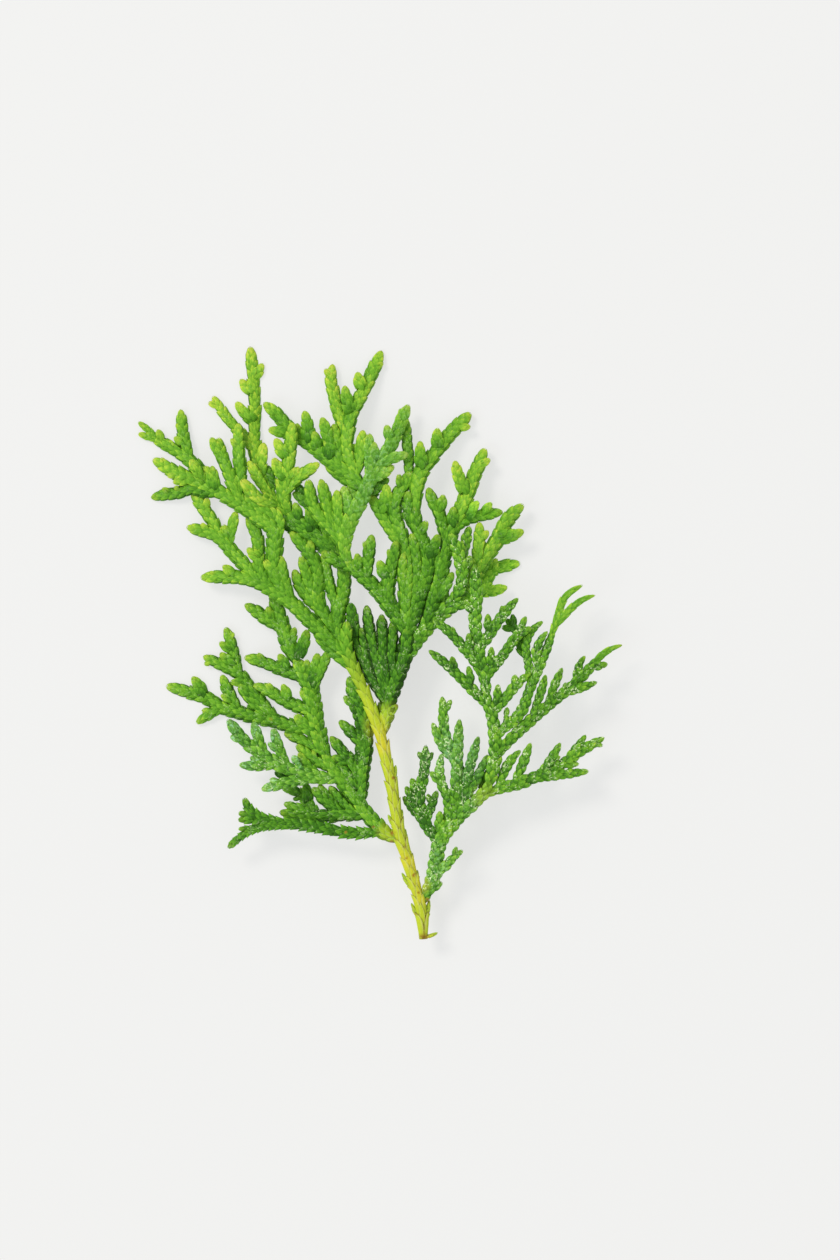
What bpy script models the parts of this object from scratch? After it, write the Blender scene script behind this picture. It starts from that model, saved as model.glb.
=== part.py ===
# A cut spray of arborvitae lying on a surface, seen from above as it was drawn up.
# The growth below is written in millimetres: x runs right, y runs up the spray from the cut end and
# heights are above the surface. Everything built from it is in metres.

import bmesh
import bpy
from mathutils import Vector

# Driving dimensions.
MM = 0.001
GAP = 0.3 * MM              # clear space kept between two pieces
STRAIGHT_ENOUGH = 0.27 * MM # a bend smaller than this is drawn straight
STEM_STRAIGHT = 0.05 * MM   # the same where a tube has six sides
SHOULDER = 1.0 * MM         # length over which the blunt tip of a twig draws in
FIRST_FOOT = 0.2 * MM       # the nearest that a side twig starts to the foot of its axis
MERGE = 0.000002            # corners closer than this become one
TWIG_HALF_WIDTH = 0.93      # half the width of an end twig, in millimetres
FINE_HALF_WIDTH = 0.8       # half the width of an end twig on the raised right-hand spray
LEAF_HALF_WIDTH = 0.6       # half the width of a pointed leaf of the stem

# Shares and slopes.
THICK_RATIO = 0.55          # thickness of a flattened twig against its width
STEM_THICK_RATIO = 0.85     # the same for the main stem, which is nearly round
TWIG_LEAN = 1.15            # distance back along the axis to a twig's foot, per distance out to its tip
LEAF_LEAN = 2.6             # the same for the pointed leaves of the stem, which lie nearly along it
TWIG_BEND = 0.1             # how far a twig bows out, against its length
TIP_SHARE = 0.42            # width of the blunt end against the full width
SHOULDER_SHARE = 0.92       # width where the tip starts to draw in
FOOT_SHARE = 0.8            # width at the foot against the full width

# Outlines of a tube across its length, as shares of its half width and half thickness.
SIX_SIDES = ((1, 0), (0.5, 1), (-0.5, 1), (-1, 0), (-0.5, -1), (0.5, -1))
FOUR_SIDES = ((1, 0), (0, 1), (-1, 0), (0, -1))

# Colours read from the photograph, as linear red, green, blue.
STEM_YELLOW = ("stem_yellow", (0.46, 0.46, 0.035), 0.5)
FRESH_GREEN = ("fresh_green", (0.105, 0.262, 0.012), 0.45)
MID_GREEN = ("mid_green", (0.058, 0.188, 0.012), 0.42)
DEEP_GREEN = ("deep_green", (0.022, 0.115, 0.014), 0.35)

# Finish of each solid.
FINISH = {
    "main_stem": STEM_YELLOW,
    "left_arm": FRESH_GREEN,
    "left_arm_outer_fork": FRESH_GREEN,
    "left_arm_upper_fork": FRESH_GREEN,
    "left_arm_inner_fork": FRESH_GREEN,
    "long_left_spray": FRESH_GREEN,
    "long_left_upper_fork": FRESH_GREEN,
    "long_left_lower_fork": MID_GREEN,
    "long_left_inner_fork": FRESH_GREEN,
    "leader_lower": MID_GREEN,
    "leader_side_fork": FRESH_GREEN,
    "leader_middle": MID_GREEN,
    "leader_upper": FRESH_GREEN,
    "leader_left_fork": FRESH_GREEN,
    "leader_right_fork": FRESH_GREEN,
    "centre_spray": DEEP_GREEN,
    "centre_crossing": MID_GREEN,
    "centre_inner_fork": MID_GREEN,
    "centre_left_fork": FRESH_GREEN,
    "upper_centre_spray": MID_GREEN,
    "upper_left_fork": FRESH_GREEN,
    "top_fork": FRESH_GREEN,
    "top_left_fork": FRESH_GREEN,
    "centre_column": MID_GREEN,
    "centre_column_fork": MID_GREEN,
    "right_column": MID_GREEN,
    "right_column_top": FRESH_GREEN,
    "right_branch": MID_GREEN,
    "right_branch_top": FRESH_GREEN,
    "right_branch_side_twig": FRESH_GREEN,
    "right_low_branch": MID_GREEN,
    "right_low_upper_fork": MID_GREEN,
    "right_lowest_branch": FRESH_GREEN,
    "right_outer_branch": FRESH_GREEN,
    "lower_left_stem": MID_GREEN,
    "lower_left_middle": MID_GREEN,
    "lower_left_upper": MID_GREEN,
    "lower_left_side_twig": MID_GREEN,
    "left_tip_spray": MID_GREEN,
    "left_tip_upper_fork": MID_GREEN,
    "low_blue_spray": DEEP_GREEN,
    "low_inner_column": DEEP_GREEN,
    "low_short_spray": MID_GREEN,
    "low_under_twig": DEEP_GREEN,
    "lowest_spray": DEEP_GREEN,
    "raised_spray_lower": DEEP_GREEN,
    "raised_spray_middle": DEEP_GREEN,
    "raised_spray_upper": DEEP_GREEN,
    "raised_left_fork": DEEP_GREEN,
    "raised_right_fork": DEEP_GREEN,
    "raised_right_lower_fork": DEEP_GREEN,
    "raised_outer_upper": DEEP_GREEN,
    "raised_outer_middle": DEEP_GREEN,
    "raised_outer_lower": DEEP_GREEN,
    "raised_inner_long": DEEP_GREEN,
    "raised_inner_short": DEEP_GREEN,
    "raised_inner_middle": DEEP_GREEN,
    "raised_inner_left": DEEP_GREEN,
}

# Height taken over from the branch that the foot stands on.
JOIN = None

# The growth of the plant, one line of growth each: solid, half width, heights spread evenly from foot
# to tip, the axis from foot to tip, and the tips of the side twigs, whose feet follow by rule. A third
# number lifts a tip. Later lines keep clear of the solids of earlier ones.
# The main stem, its pointed leaves and the small leaf beside the cut.
STEM = (
    ("main_stem", 1.12, (5.6, 6.1), ((10, -65), (9.9, -62), (9.5, -58.6)), ()),
    ("main_stem", 1.28, (5.9, 6.9, 7.8, 8.5, 8.9, 8.6, 9.5),
     ((9.8, -61), (9.3, -57.5), (8.4, -54), (7.2, -50), (6.2, -46.5), (5.2, -43.5), (4.4, -40),
      (3.8, -36), (3.2, -32), (2.5, -28.5), (1.6, -24.5), (0.7, -20.5), (-0.5, -17), (-2, -13), (-3.7, -9),
      (-5.3, -5.5), (-6.3, -3), (-6.9, -0.5), (-6.9, 2.4), (-6.8, 4.9)),
     ((7.3, -57.1), (5.2, -50.4), (2.1, -33.6), (2.2, -37.6), (11.3, -56.4), (8.6, -49.7), (7.1, -45.4),
      (6, -40.7), (5.3, -36.4), (3.9, -26.7))),
    ("main_stem", 0.6, (5.5, 5.4), ((10.2, -64.5), (11.6, -64.2), (13.2, -63.7)), ()),
)

# The branch that leaves the top of the stem to the left.
LEFT_ARM = (
    ("left_arm", 1.15, (JOIN, 7.9, 6.9, 5.7, 3.6),
     ((-6.3, -2.8), (-9.5, -0.3), (-12.5, 2.7), (-15.5, 5.5), (-18, 8), (-20.5, 10), (-23.5, 11.9),
      (-26.5, 13.4), (-30, 14.4), (-34, 14.6), (-38.9, 14.4)),
     ((-36.9, 15.6), (-34, 16.9))),
    ("left_arm_outer_fork", 1.05, (JOIN, 4.9, 4, 2.8),
     ((-26, 13.3), (-29.5, 17.3), (-32, 20), (-34, 22.3), (-36.5, 24), (-42, 25.5)), ((-38.8, 26.2),)),
    ("left_arm_outer_fork", 0.95, (JOIN, 4, 3.6),
     ((-32.8, 21), (-32.2, 25), (-31.3, 28.8)), ((-34, 25.9),)),
    ("left_arm_upper_fork", 1, (JOIN, 3, 1.2),
     ((-34.3, 22.6), (-36.3, 26.5), (-38.3, 29.5), (-41, 33.3)), ((-37.7, 31.9),)),
    ("left_arm_inner_fork", 1, (JOIN, 5.8, 4, 2.8),
     ((-23.3, 11.7), (-25, 14.2), (-25.9, 16.5), (-26.2, 20), (-26.7, 23.8), (-28.8, 27.8)),
      ((-28.6, 20.8),)),
)

# The long spray that rises from the left arm.
LONG_LEFT_SPRAY = (
    ("long_left_spray", 1.2, (JOIN, 6.7, 6.2, 5.2, 3.9, 2.4, 1),
     ((-19.6, 9.4), (-21.3, 12.3), (-22.6, 14.5), (-23, 17.5), (-22.9, 21), (-23.6, 25), (-26.7, 27.8),
      (-30.5, 30.7), (-34, 32.8), (-37.5, 34.6), (-41, 36), (-45, 37.8), (-49.6, 40.5)),
     ((-46.3, 36.8), (-45, 35.4), (-24.8, 18.1))),
    ("long_left_spray", 0.95, (JOIN, 6.7, 6.4), ((-18.9, 9.9), (-20.3, 13), (-21, 16), (-21.3, 19)), ()),
    ("long_left_spray", 0.95, (JOIN, 4.9, 5), ((-38, 34.9), (-39.6, 37.6), (-41.2, 40.2)), ()),
    ("long_left_spray", 0.9, (JOIN, 4.8), ((-35.2, 33.6), (-36.5, 38.8)), ()),
    ("long_left_upper_fork", 1, (JOIN, 2.9, 1.7, 0.7),
     ((-36.6, 34.3), (-39.2, 38), (-42.5, 41), (-46, 43.3), (-50, 45.5), (-52.6, 46.2)),
     ((-52.5, 48.4), (-45.9, 44.6))),
    ("long_left_upper_fork", 0.95, (JOIN, 1.8, 1.2), ((-41.4, 40.1), (-42.2, 43), (-43, 46), (-43.5, 51.3)),
     ((-44.4, 48.2), (-44.8, 45.3))),
    ("long_left_lower_fork", 0.95, (JOIN, 3, 1.9, 0.8),
     ((-34.6, 33), (-38, 33.4), (-41, 34), (-44, 33.1), (-47, 32.7), (-49.9, 32.1)),
     ((-47.5, 34), (-44.8, 34.3))),
    ("long_left_inner_fork", 1, (JOIN, 5.2, 4.3, 2.4),
     ((-29.5, 30.1), (-31.3, 34), (-33.4, 38.5), (-34.6, 42), (-35.2, 45.1)), ((-36.7, 45.1),
      (-32.3, 41, -0.8))),
    ("long_left_inner_fork", 0.95, (JOIN, 4.8, 3.7),
     ((-30.5, 32.4), (-30.2, 37), (-30.6, 42), (-30.8, 48.2)), ((-32.2, 44.8),)),
)

# The branch that goes on upwards and to the left.
LEADER = (
    ("leader_lower", 1.15, (JOIN, 6.9, 6.3, 6),
     ((-6.9, -1.4), (-8.9, 2.4), (-8.7, 7), (-7.7, 11), (-7.4, 15), (-8.2, 18.9)), ()),
    ("leader_lower", 0.9, (JOIN, 5.4), ((-8.8, 7), (-10.4, 12), (-11.2, 15.5), (-12, 19.6)), ()),
    ("leader_side_fork", 1.05, (JOIN, 6.6, 6, 5.2),
     ((-8.9, 2), (-11, 5), (-12.7, 8), (-13.3, 11), (-13, 14.5), (-13.7, 17.7), (-16, 20.8), (-19.2, 24.3)),
     ((-15, 22.4),)),
    ("leader_side_fork", 0.98, (JOIN, 5.8, 5.2), ((-12.9, 8.6), (-14.9, 12.8), (-15.9, 16), (-17, 19)), ()),
    ("leader_side_fork", 0.98, (JOIN, 5.6, 4.8),
     ((-12.2, 6.9), (-15, 9.6), (-17.2, 12.7), (-18.4, 16)), ()),
    ("leader_middle", 1.15, (JOIN, 5.6, 4.5),
     ((-7.9, 16.9), (-8.6, 19.2), (-10.5, 21.6), (-13.5, 23.9), (-17, 26.3), (-20.6, 29.1)),
     ((-18.3, 30.7, 0.4), (-15.5, 29.7, 0.5))),
    ("leader_middle", 0.95, (JOIN, 5), ((-10.3, 21.4), (-11.7, 25), (-13.3, 28.2)), ()),
    ("leader_upper", 1, (JOIN, 4.1, 3, 1.8, 0.55, 0.55, 0.55, 0.55),
     ((-19.9, 28.6), (-22.5, 31), (-24.5, 34), (-26, 38), (-27, 42), (-27.3, 46), (-27.2, 52), (-27.5, 57),
      (-27.8, 61), (-28.2, 65.2)),
     ((-25.5, 61.5), (-30.3, 58), (-31.2, 53), (-25, 43.8, 0.8))),
    ("leader_upper", 1.05, (JOIN, 6.5, 6.9),
     ((-21.9, 30.3), (-24.6, 30.9), (-27, 32.4), (-29.9, 35.8)), ()),
    ("leader_upper", 0.95, (JOIN, 4.6), ((-23.4, 32.2), (-25.7, 35.4), (-28.5, 39.9)), ()),
    ("leader_left_fork", 0.75, (JOIN, 1.6, 0.7),
     ((-27, 42), (-29.2, 45.3), (-31.5, 48.1), (-33.5, 50.7), (-36.3, 54.4)), ((-37.3, 53.1),)),
    ("leader_right_fork", 1.08, (JOIN, 6.2, 6.6, 5.4),
     ((-19.6, 28.3), (-20.7, 32.5), (-20.2, 36), (-19.6, 40), (-19.1, 44.5), (-18.8, 48.3)),
     ((-22.5, 44.8), (-22.9, 40.5), (-17.4, 38.5), (-22.1, 36))),
    ("leader_right_fork", 1, (JOIN, 6.4, 6.4), ((-20.5, 32.6), (-18, 36), (-13, 39.4)), ()),
)

# The centre spray with its dark fingers, and what crosses the middle of the plant.
CENTRE = (
    ("centre_spray", 1.35, (JOIN, 9.3, 9.9, 10.1),
     ((0.9, -20), (1.4, -17), (1.8, -14.8), (2.4, -12), (4, -8), (5.4, -4), (6.2, 0), (6.3, 3.6)),
     ((4.2, -13.6),)),
    ("centre_spray", 1, (JOIN, 8.6, 7, 5.8),
     ((1.6, -13), (-1, -8), (-3.2, -4), (-4.6, 0), (-5.4, 4.5), (-6.1, 8.5)), ()),
    ("centre_spray", 0.95, (JOIN, 8, 7.6), ((-1.6, -7), (-2.6, -2), (-3.7, 3.2)), ()),
    ("centre_spray", 1, (JOIN, 9.6, 9.2, 8.4), ((1.9, -12), (0, -5), (-1.2, 0), (-2, 4), (-2.5, 8.1)), ()),
    ("centre_spray", 1, (JOIN, 10, 9.2), ((2.6, -11), (1.2, -4), (1, 1), (0.8, 6.2)), ()),
    ("centre_spray", 1, (JOIN, 9.8, 8.6), ((3.7, -8.5), (3, -3), (3.2, 1), (3.3, 4.7)), ()),
    ("centre_crossing", 1.2, (JOIN, 10.1, 9.6, 9.3),
     ((6.2, 2), (4.6, 5.4), (2.8, 8), (0.5, 11), (-1.7, 13.3), (-4.5, 15.9), (-7, 18.4)), ((-4.6, 19.5),)),
    ("centre_crossing", 1.05, (JOIN, 9.7, 9.5), ((-2.4, 14), (-2, 19.3), (-1.3, 23.6)), ((-3, 22.2),)),
    ("centre_crossing", 1.1, (JOIN, 9.2, 9.1), ((-4.7, 16.1), (-9.3, 18.2), (-12.2, 19.9)), ()),
    ("centre_inner_fork", 1.1, (JOIN, 10.2, 10.1),
     ((3, 7.7), (2.2, 11.5), (2.8, 15.5), (3.5, 19), (4, 22.3)), ((0.2, 18), (2.3, 20.4))),
    ("upper_centre_spray", 1.2, (JOIN, 9, 8.4, 7, 5.4, 4.2),
     ((-6.2, 17.6), (-7.2, 20), (-7.1, 22.5), (-6.3, 26), (-4.9, 29), (-3.5, 31.6), (-2.1, 35),
      (-0.8, 37.5),
      (0.6, 39.9), (2.5, 42.8), (4.2, 46.5), (5.4, 49.5), (6.7, 52.3)),
     ((4.9, 51.4), (1.9, 47.8), (2.5, 36.7, -0.6), (-0.9, 44), (-7.5, 34.3, -1))),
    ("upper_centre_spray", 1, (JOIN, 7.2, 7), ((0.2, 39), (3.3, 40.6), (6.5, 41.4)), ()),
    ("upper_centre_spray", 1.05, (JOIN, 7.4, 6.6), ((-1.8, 35.5), (-1.7, 40), (-1.9, 45.9)), ()),
    ("centre_left_fork", 1, (JOIN, 9, 8.6), ((-7.1, 19.9), (-8.1, 24), (-8.7, 28.5), (-9, 33.4)), ()),
    ("centre_left_fork", 1, (9.1, 8.4, 7.6), ((-7.6, 21), (-9.6, 25), (-10.8, 29), (-12.5, 35.8)), ()),
    ("centre_left_fork", 1, (9.1, 8, 6.6),
     ((-7.9, 22), (-11, 26), (-13.2, 28.7), (-14.5, 31.4), (-15.3, 35.8)), ()),
    ("upper_left_fork", 1.1, (JOIN, 7.4, 6, 4, 3, 2.8),
     ((-3, 32.8), (-4.6, 35.8), (-7.5, 38), (-11, 40.5), (-14, 43), (-17.5, 45.5), (-20.5, 48.3),
      (-22.5, 50.6),
      (-25.1, 52.8)),
     ((-24, 47), (-16.2, 50.9), (-17.9, 48.2), (-12.3, 49.4), (-14.1, 46.4))),
    ("upper_left_fork", 1.05, (JOIN, 6.4, 5.6), ((-8.2, 38.5), (-9, 43), (-9.7, 48)), ((-11.7, 44.8),)),
    ("top_fork", 1.1, (JOIN, 6.6, 5, 2.7, 0.6),
     ((-4.5, 35.6), (-6.2, 40), (-7, 43.5), (-6.6, 47), (-5.8, 50.5), (-4, 54), (-2.3, 57.5), (-0.7, 61),
      (0.7, 64.3)),
     ((1, 61.7), (-4.5, 59.5), (-7.3, 56.4))),
    ("top_fork", 1.05, (JOIN, 6.4), ((-4.8, 37), (-3.9, 41), (-3.3, 46.6)), ()),
    ("top_left_fork", 1, (JOIN, 4.2, 2.6, 1.4),
     ((-6.8, 44.6), (-8, 49), (-9, 52), (-9.7, 55), (-10.4, 58), (-10, 61.3)), ((-11.6, 60.3),)),
)

# The two upright branches right of the middle.
COLUMNS = (
    ("centre_column", 1.15, (JOIN, 9.8, 9.2, 7.4, 5.6),
     ((6.3, 2.8), (6, 7), (6.2, 11), (6.4, 15), (6.1, 19), (5.3, 23), (4.3, 26), (3.9, 29), (4.4, 32),
      (5.8, 34.8), (7.2, 37.8)),
     ((4.6, 36.9),)),
    ("centre_column", 0.88, (JOIN, 4.2, 2.5), ((6.7, 36.6), (6.8, 40.5), (6.4, 44), (6.2, 49.3)), ()),
    ("centre_column", 0.95, (JOIN, 10.2), ((6.1, 10), (5.4, 15), (5.6, 19.5)), ()),
    ("centre_column_fork", 1.1, (JOIN, 7.4, 5.8),
     ((5.9, 20.2), (4.2, 23.3), (2.3, 26), (0.6, 28.8), (-1.7, 32.4)), ((1.9, 34.7),)),
    ("right_column", 1.15, (JOIN, 9.4, 8.6, 7.8),
     ((6.5, 1.4), (7.6, 5.6), (8.7, 10), (10.1, 14), (10.9, 17.3), (10.6, 20), (9.8, 22.5), (8.8, 25),
      (7.9, 27.5), (7.3, 30.2)),
     ((10.6, 26.7), (13.2, 23.7))),
    ("right_column", 1.1, (JOIN, 9.3, 8.8), ((8.1, 7.2), (8.1, 13), (8.3, 18), (7.4, 23.9)), ()),
    ("right_column_top", 1.1, (JOIN, 7, 5.4, 3.6, 1.6),
     ((7.7, 28.4), (7.2, 31.5), (7.9, 34.3), (9.3, 37.3), (11.5, 40.4), (15, 45), (17.5, 47.8),
      (20.3, 50.6)),
     ((9.6, 34.9), (6.5, 33.1), (20.2, 47.7), (13.1, 47.1), (9.3, 44.2))),
)

# The branches on the right that lie low.
RIGHT_SIDE = (
    ("right_low_branch", 1.2, (JOIN, 9, 8, 7.2),
     ((5.1, -5), (7.3, -1.5), (9.5, 1.8), (12.3, 4.8), (15.3, 7.9), (17.8, 10.5), (20, 13.4)),
      ((19.9, 8.8),)),
    ("right_low_branch", 1, (JOIN, 7.6, 6.8), ((12.2, 5), (14.2, 9.5), (15, 12.5)), ()),
    ("right_lowest_branch", 1.05, (JOIN, 5.8, 3.4, 1.4, 0.6),
     ((17.8, 10.4), (20.6, 10.3), (22.7, 11.5), (23.7, 13.6), (24.9, 15.8), (27.5, 16.9), (31.2, 17.6)),
     ((26.1, 18.5),)),
    ("right_lowest_branch", 0.95, (JOIN, 2.6), ((21.8, 10.9), (25, 11.4), (28.3, 12.3)), ()),
    ("right_low_upper_fork", 1.05, (JOIN, 8.8, 9.7, 10),
     ((15.9, 8.4), (18, 12), (18.5, 15), (17.9, 18.5), (17.2, 21), (15.9, 23.9)), ((18.4, 22.2),
      (20.3, 19))),
    ("right_low_upper_fork", 0.95, (JOIN, 6.8, 5.6), ((18.3, 16.5), (19, 21), (20.1, 25.6)), ()),
    ("right_branch", 1.15, (JOIN, 8.9, 8.2, 7.4),
     ((9, 1), (11.1, 6), (11.9, 9.5), (13.1, 13), (14.2, 17), (15.2, 21), (16.3, 24.5), (17.6, 27.7)),
     ((16.6, 29.8), (16.1, 20.2, -0.8))),
    ("right_branch", 1, (JOIN, 8), ((13, 9.5), (14.6, 12.2), (16.4, 15.4)), ()),
    ("right_branch", 0.95, (JOIN, 8), ((13.4, 14.2), (13.1, 17.6), (12.4, 21)), ()),
    ("right_branch", 1, (JOIN, 7.4, 6.4),
     ((15.3, 21.3), (15, 25.5), (13.4, 29), (11.2, 33.9)), ((14.3, 32.4),)),
    ("right_branch_top", 1.1, (JOIN, 5.4, 2.6),
     ((17, 26.2), (18.2, 29), (19.3, 31.8), (21, 36.5), (22.3, 39.5), (23.5, 42.8)),
      ((24.5, 40.4), (16.9, 39.9))),
    ("right_branch_side_twig", 1, (JOIN, 5.6, 3),
     ((16.4, 24.7), (18.6, 26.9), (21, 27.7), (25, 28.5), (27.3, 28.8)), ((22, 31), (24.9, 30.7))),
    ("right_outer_branch", 1.15, (JOIN, 6, 5.2, 4),
     ((19.2, 12.3), (21.6, 15.8), (24, 19.5), (26.2, 22.6), (28.1, 26.4), (29.8, 28.5), (31.9, 30.4)),
     ((31.9, 24.6),)),
    ("right_outer_branch", 1, (JOIN, 6.4, 5.6),
     ((21.6, 15.8), (22, 20), (22.3, 23), (22.3, 26.4)), ((24.1, 24.6),)),
)

# Everything that grows from the lower left side of the stem.
LOWER_LEFT = (
    ("lower_left_stem", 1.2, (JOIN, 7, 6, 5.3),
     ((5, -43), (3, -42.4), (1.4, -41.6), (0, -40.3), (-1.5, -38.6), (-3.5, -36.2), (-5, -34), (-7, -31.3),
      (-10, -27.3), (-12, -23.7)), ()),
    ("lower_left_stem", 0.95, (JOIN, 4.6),
     ((-9.6, -27.9), (-13.6, -25.8), (-17.9, -22.5)), ((-14.2, -23.8),)),
    ("lower_left_middle", 1.15, (JOIN, 4.8, 4.3),
     ((-11.2, -25.2), (-12.4, -22.6), (-13.3, -20), (-14, -16), (-14.3, -12), (-14.8, -9),
      (-16, -6), (-17.3, -3.3)),
     ((-13.3, -2.4), (-18.2, -15.8), (-15.6, -3.8))),
    ("lower_left_middle", 0.95, (JOIN, 4.1, 3.4),
     ((-11.9, -24), (-14.5, -22.6), (-17.5, -21), (-20.5, -20)), ()),
    ("lower_left_middle", 1, (JOIN, 3.8, 3.2),
     ((-14.1, -15.5), (-17.5, -14), (-20.5, -12.7), (-24, -10.5), (-27.3, -9.3)), ((-24.3, -8.9),
      (-21, -9.2))),
    ("lower_left_middle", 0.9, (JOIN, 5.2, 5.6), ((-14.3, -10.5), (-12, -4.6), (-10.7, -1.6)), ()),
    ("lower_left_side_twig", 1, (JOIN, 3.9, 3.3),
     ((-15, -8.6), (-18.5, -6.8), (-22, -5.5), (-26, -4), (-29.3, -3.2)), ((-26.4, -2.4), (-21.8, -2.6))),
    ("lower_left_upper", 1.15, (JOIN, 3.8, 3.3),
     ((-16.8, -4.4), (-18.8, 0), (-20.5, 3.5), (-21.8, 6.5), (-22.6, 9), (-23.2, 11.3)),
     ((-18.3, 3.3), (-15.6, 2.8))),
    ("lower_left_upper", 1.05, (JOIN, 3.7, 3.2),
     ((-20, 2.4), (-24, 5), (-26.5, 6.8), (-29.2, 8.4)), ((-24.3, 7.9),)),
    ("left_tip_spray", 1.1, (JOIN, 3.4, 2, 0.9, 0.6),
     ((-13.6, -18.6), (-17, -18.5), (-20, -17.8), (-23, -16.6), (-27, -15.8), (-31, -14.9), (-34.5, -13.9),
      (-38, -12), (-42, -10.8), (-46.6, -9.5)),
     ((-40.9, -7.6),)),
    ("left_tip_spray", 1, (JOIN, 1.2, 0.9),
     ((-33.8, -14.1), (-37, -15.6), (-39.9, -17.6)), ((-38.7, -14.9),)),
    ("left_tip_spray", 1, (JOIN, 1.9), ((-30.6, -15), (-33, -10.6), (-34.4, -7.2)), ((-34.5, -11.5),)),
    ("left_tip_upper_fork", 1, (JOIN, 2.8, 2, 1),
     ((-22.3, -16.9), (-24.5, -14.5), (-26.5, -12), (-28.5, -9.5), (-30.5, -7), (-33.5, -5.3), (-38.4, -3)),
     ((-38.2, -4.6), (-32.4, -8.6))),
    ("left_tip_upper_fork", 0.95, (JOIN, 1.8, 1.4),
     ((-30.4, -7.1), (-31.6, -3.5), (-32.4, 0), (-33.6, 3.3)),
     ((-32, 2.2), (-34.8, 0.1), (-34.7, -2.3))),
    ("low_blue_spray", 1.1, (JOIN, 6.3, 6.2, 5.4, 4.6),
     ((-8.3, -29.6), (-10.5, -29.7), (-13.5, -29.4), (-17, -28.5), (-20, -27.5), (-23, -26), (-26, -24),
      (-28.5, -22.3), (-31, -19.5), (-33, -16.9)),
     ((-32.3, -20.6), (-18.7, -24.9))),
    ("low_blue_spray", 1, (JOIN, 6, 5.6), ((-24.8, -24.8), (-26.4, -20.5), (-27.4, -17.5)), ()),
    ("low_blue_spray", 1, (JOIN, 6.4, 6), ((-19.7, -27.6), (-22, -22.3), (-23, -18.8)), ((-24, -22),)),
    ("low_blue_spray", 1, (JOIN, 6, 5.6), ((-22, -26.5), (-26.5, -27), (-30.3, -26.8)), ((-27.9, -25.1),)),
    ("low_blue_spray", 1, (JOIN, 6.4, 6), ((-12.6, -29.5), (-19, -30.4), (-22.5, -31.2), (-25.4, -32.2)),
     ((-23.6, -30),)),
    ("low_inner_column", 1.15, (JOIN, 5.6, 5.7, 6),
     ((-4.2, -35.2), (-3.8, -32), (-3.8, -28), (-3.1, -24), (-2.9, -20), (-3.4, -16.5), (-4.5, -13.5),
      (-5.5, -10), (-6.3, -7.4)),
     ((-7.4, -11.8),)),
    ("low_inner_column", 1, (JOIN, 5.6), ((-3.6, -26.5), (-3.5, -22.5), (-6.3, -19.2), (-8.4, -17.2)), ()),
    ("low_inner_column", 1, (JOIN, 5.4),
     ((-3.8, -30.5), (-5.8, -26.4), (-8.3, -23.2), (-10.4, -20.7)), ((-10, -25),)),
    ("low_short_spray", 1.05, (JOIN, 6, 5.2),
     ((-2.4, -37.6), (-5, -37.6), (-8, -37.7), (-12, -38), (-16, -38.1), (-21.5, -37.2)), ()),
    ("low_short_spray", 0.95, (JOIN, 5.4), ((-14, -38), (-17.5, -36.4), (-20.5, -35.3)), ()),
    ("low_short_spray", 1, (JOIN, 6.2), ((-7.4, -37.6), (-11, -35), (-14.3, -31.9)), ()),
    ("low_short_spray", 0.95, (JOIN, 5.2), ((-4.8, -37.5), (-8.2, -34.6), (-10.6, -31.6)), ()),
    ("low_under_twig", 0.95, (JOIN, 3, 1.2, 0.6),
     ((-13, -37.8), (-15.2, -35.4), (-17, -33.4), (-19, -32.4), (-21.1, -31.9)), ((-16, -30.9),
      (-18.6, -34.4))),
    ("lowest_spray", 1.05, (JOIN, 7.9, 8, 8, 7.6, 7.2),
     ((1.2, -41.5), (-1.5, -41.6), (-4.5, -41.7), (-8, -41.4), (-12, -40.6), (-16, -40), (-20, -39.6),
      (-23, -39.1), (-26.2, -38), (-28.3, -36.3), (-29.3, -34.1)),
     ((-30.4, -37.3),)),
    ("lowest_spray", 0.7, (JOIN, 7.6, 6.4),
     ((-18, -40.1), (-24.5, -40.2), (-28, -41.2), (-30.5, -42.8), (-32.8, -44.9)), ()),
    ("lowest_spray", 0.55, (JOIN, 7.5), ((-24.4, -40.3), (-27, -40.6), (-30.4, -40.8)), ()),
    ("lowest_spray", 0.85, (JOIN, 7.4), ((-23.5, -39.1), (-27.5, -38.7), (-30.5, -38.8)), ()),
)

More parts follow.
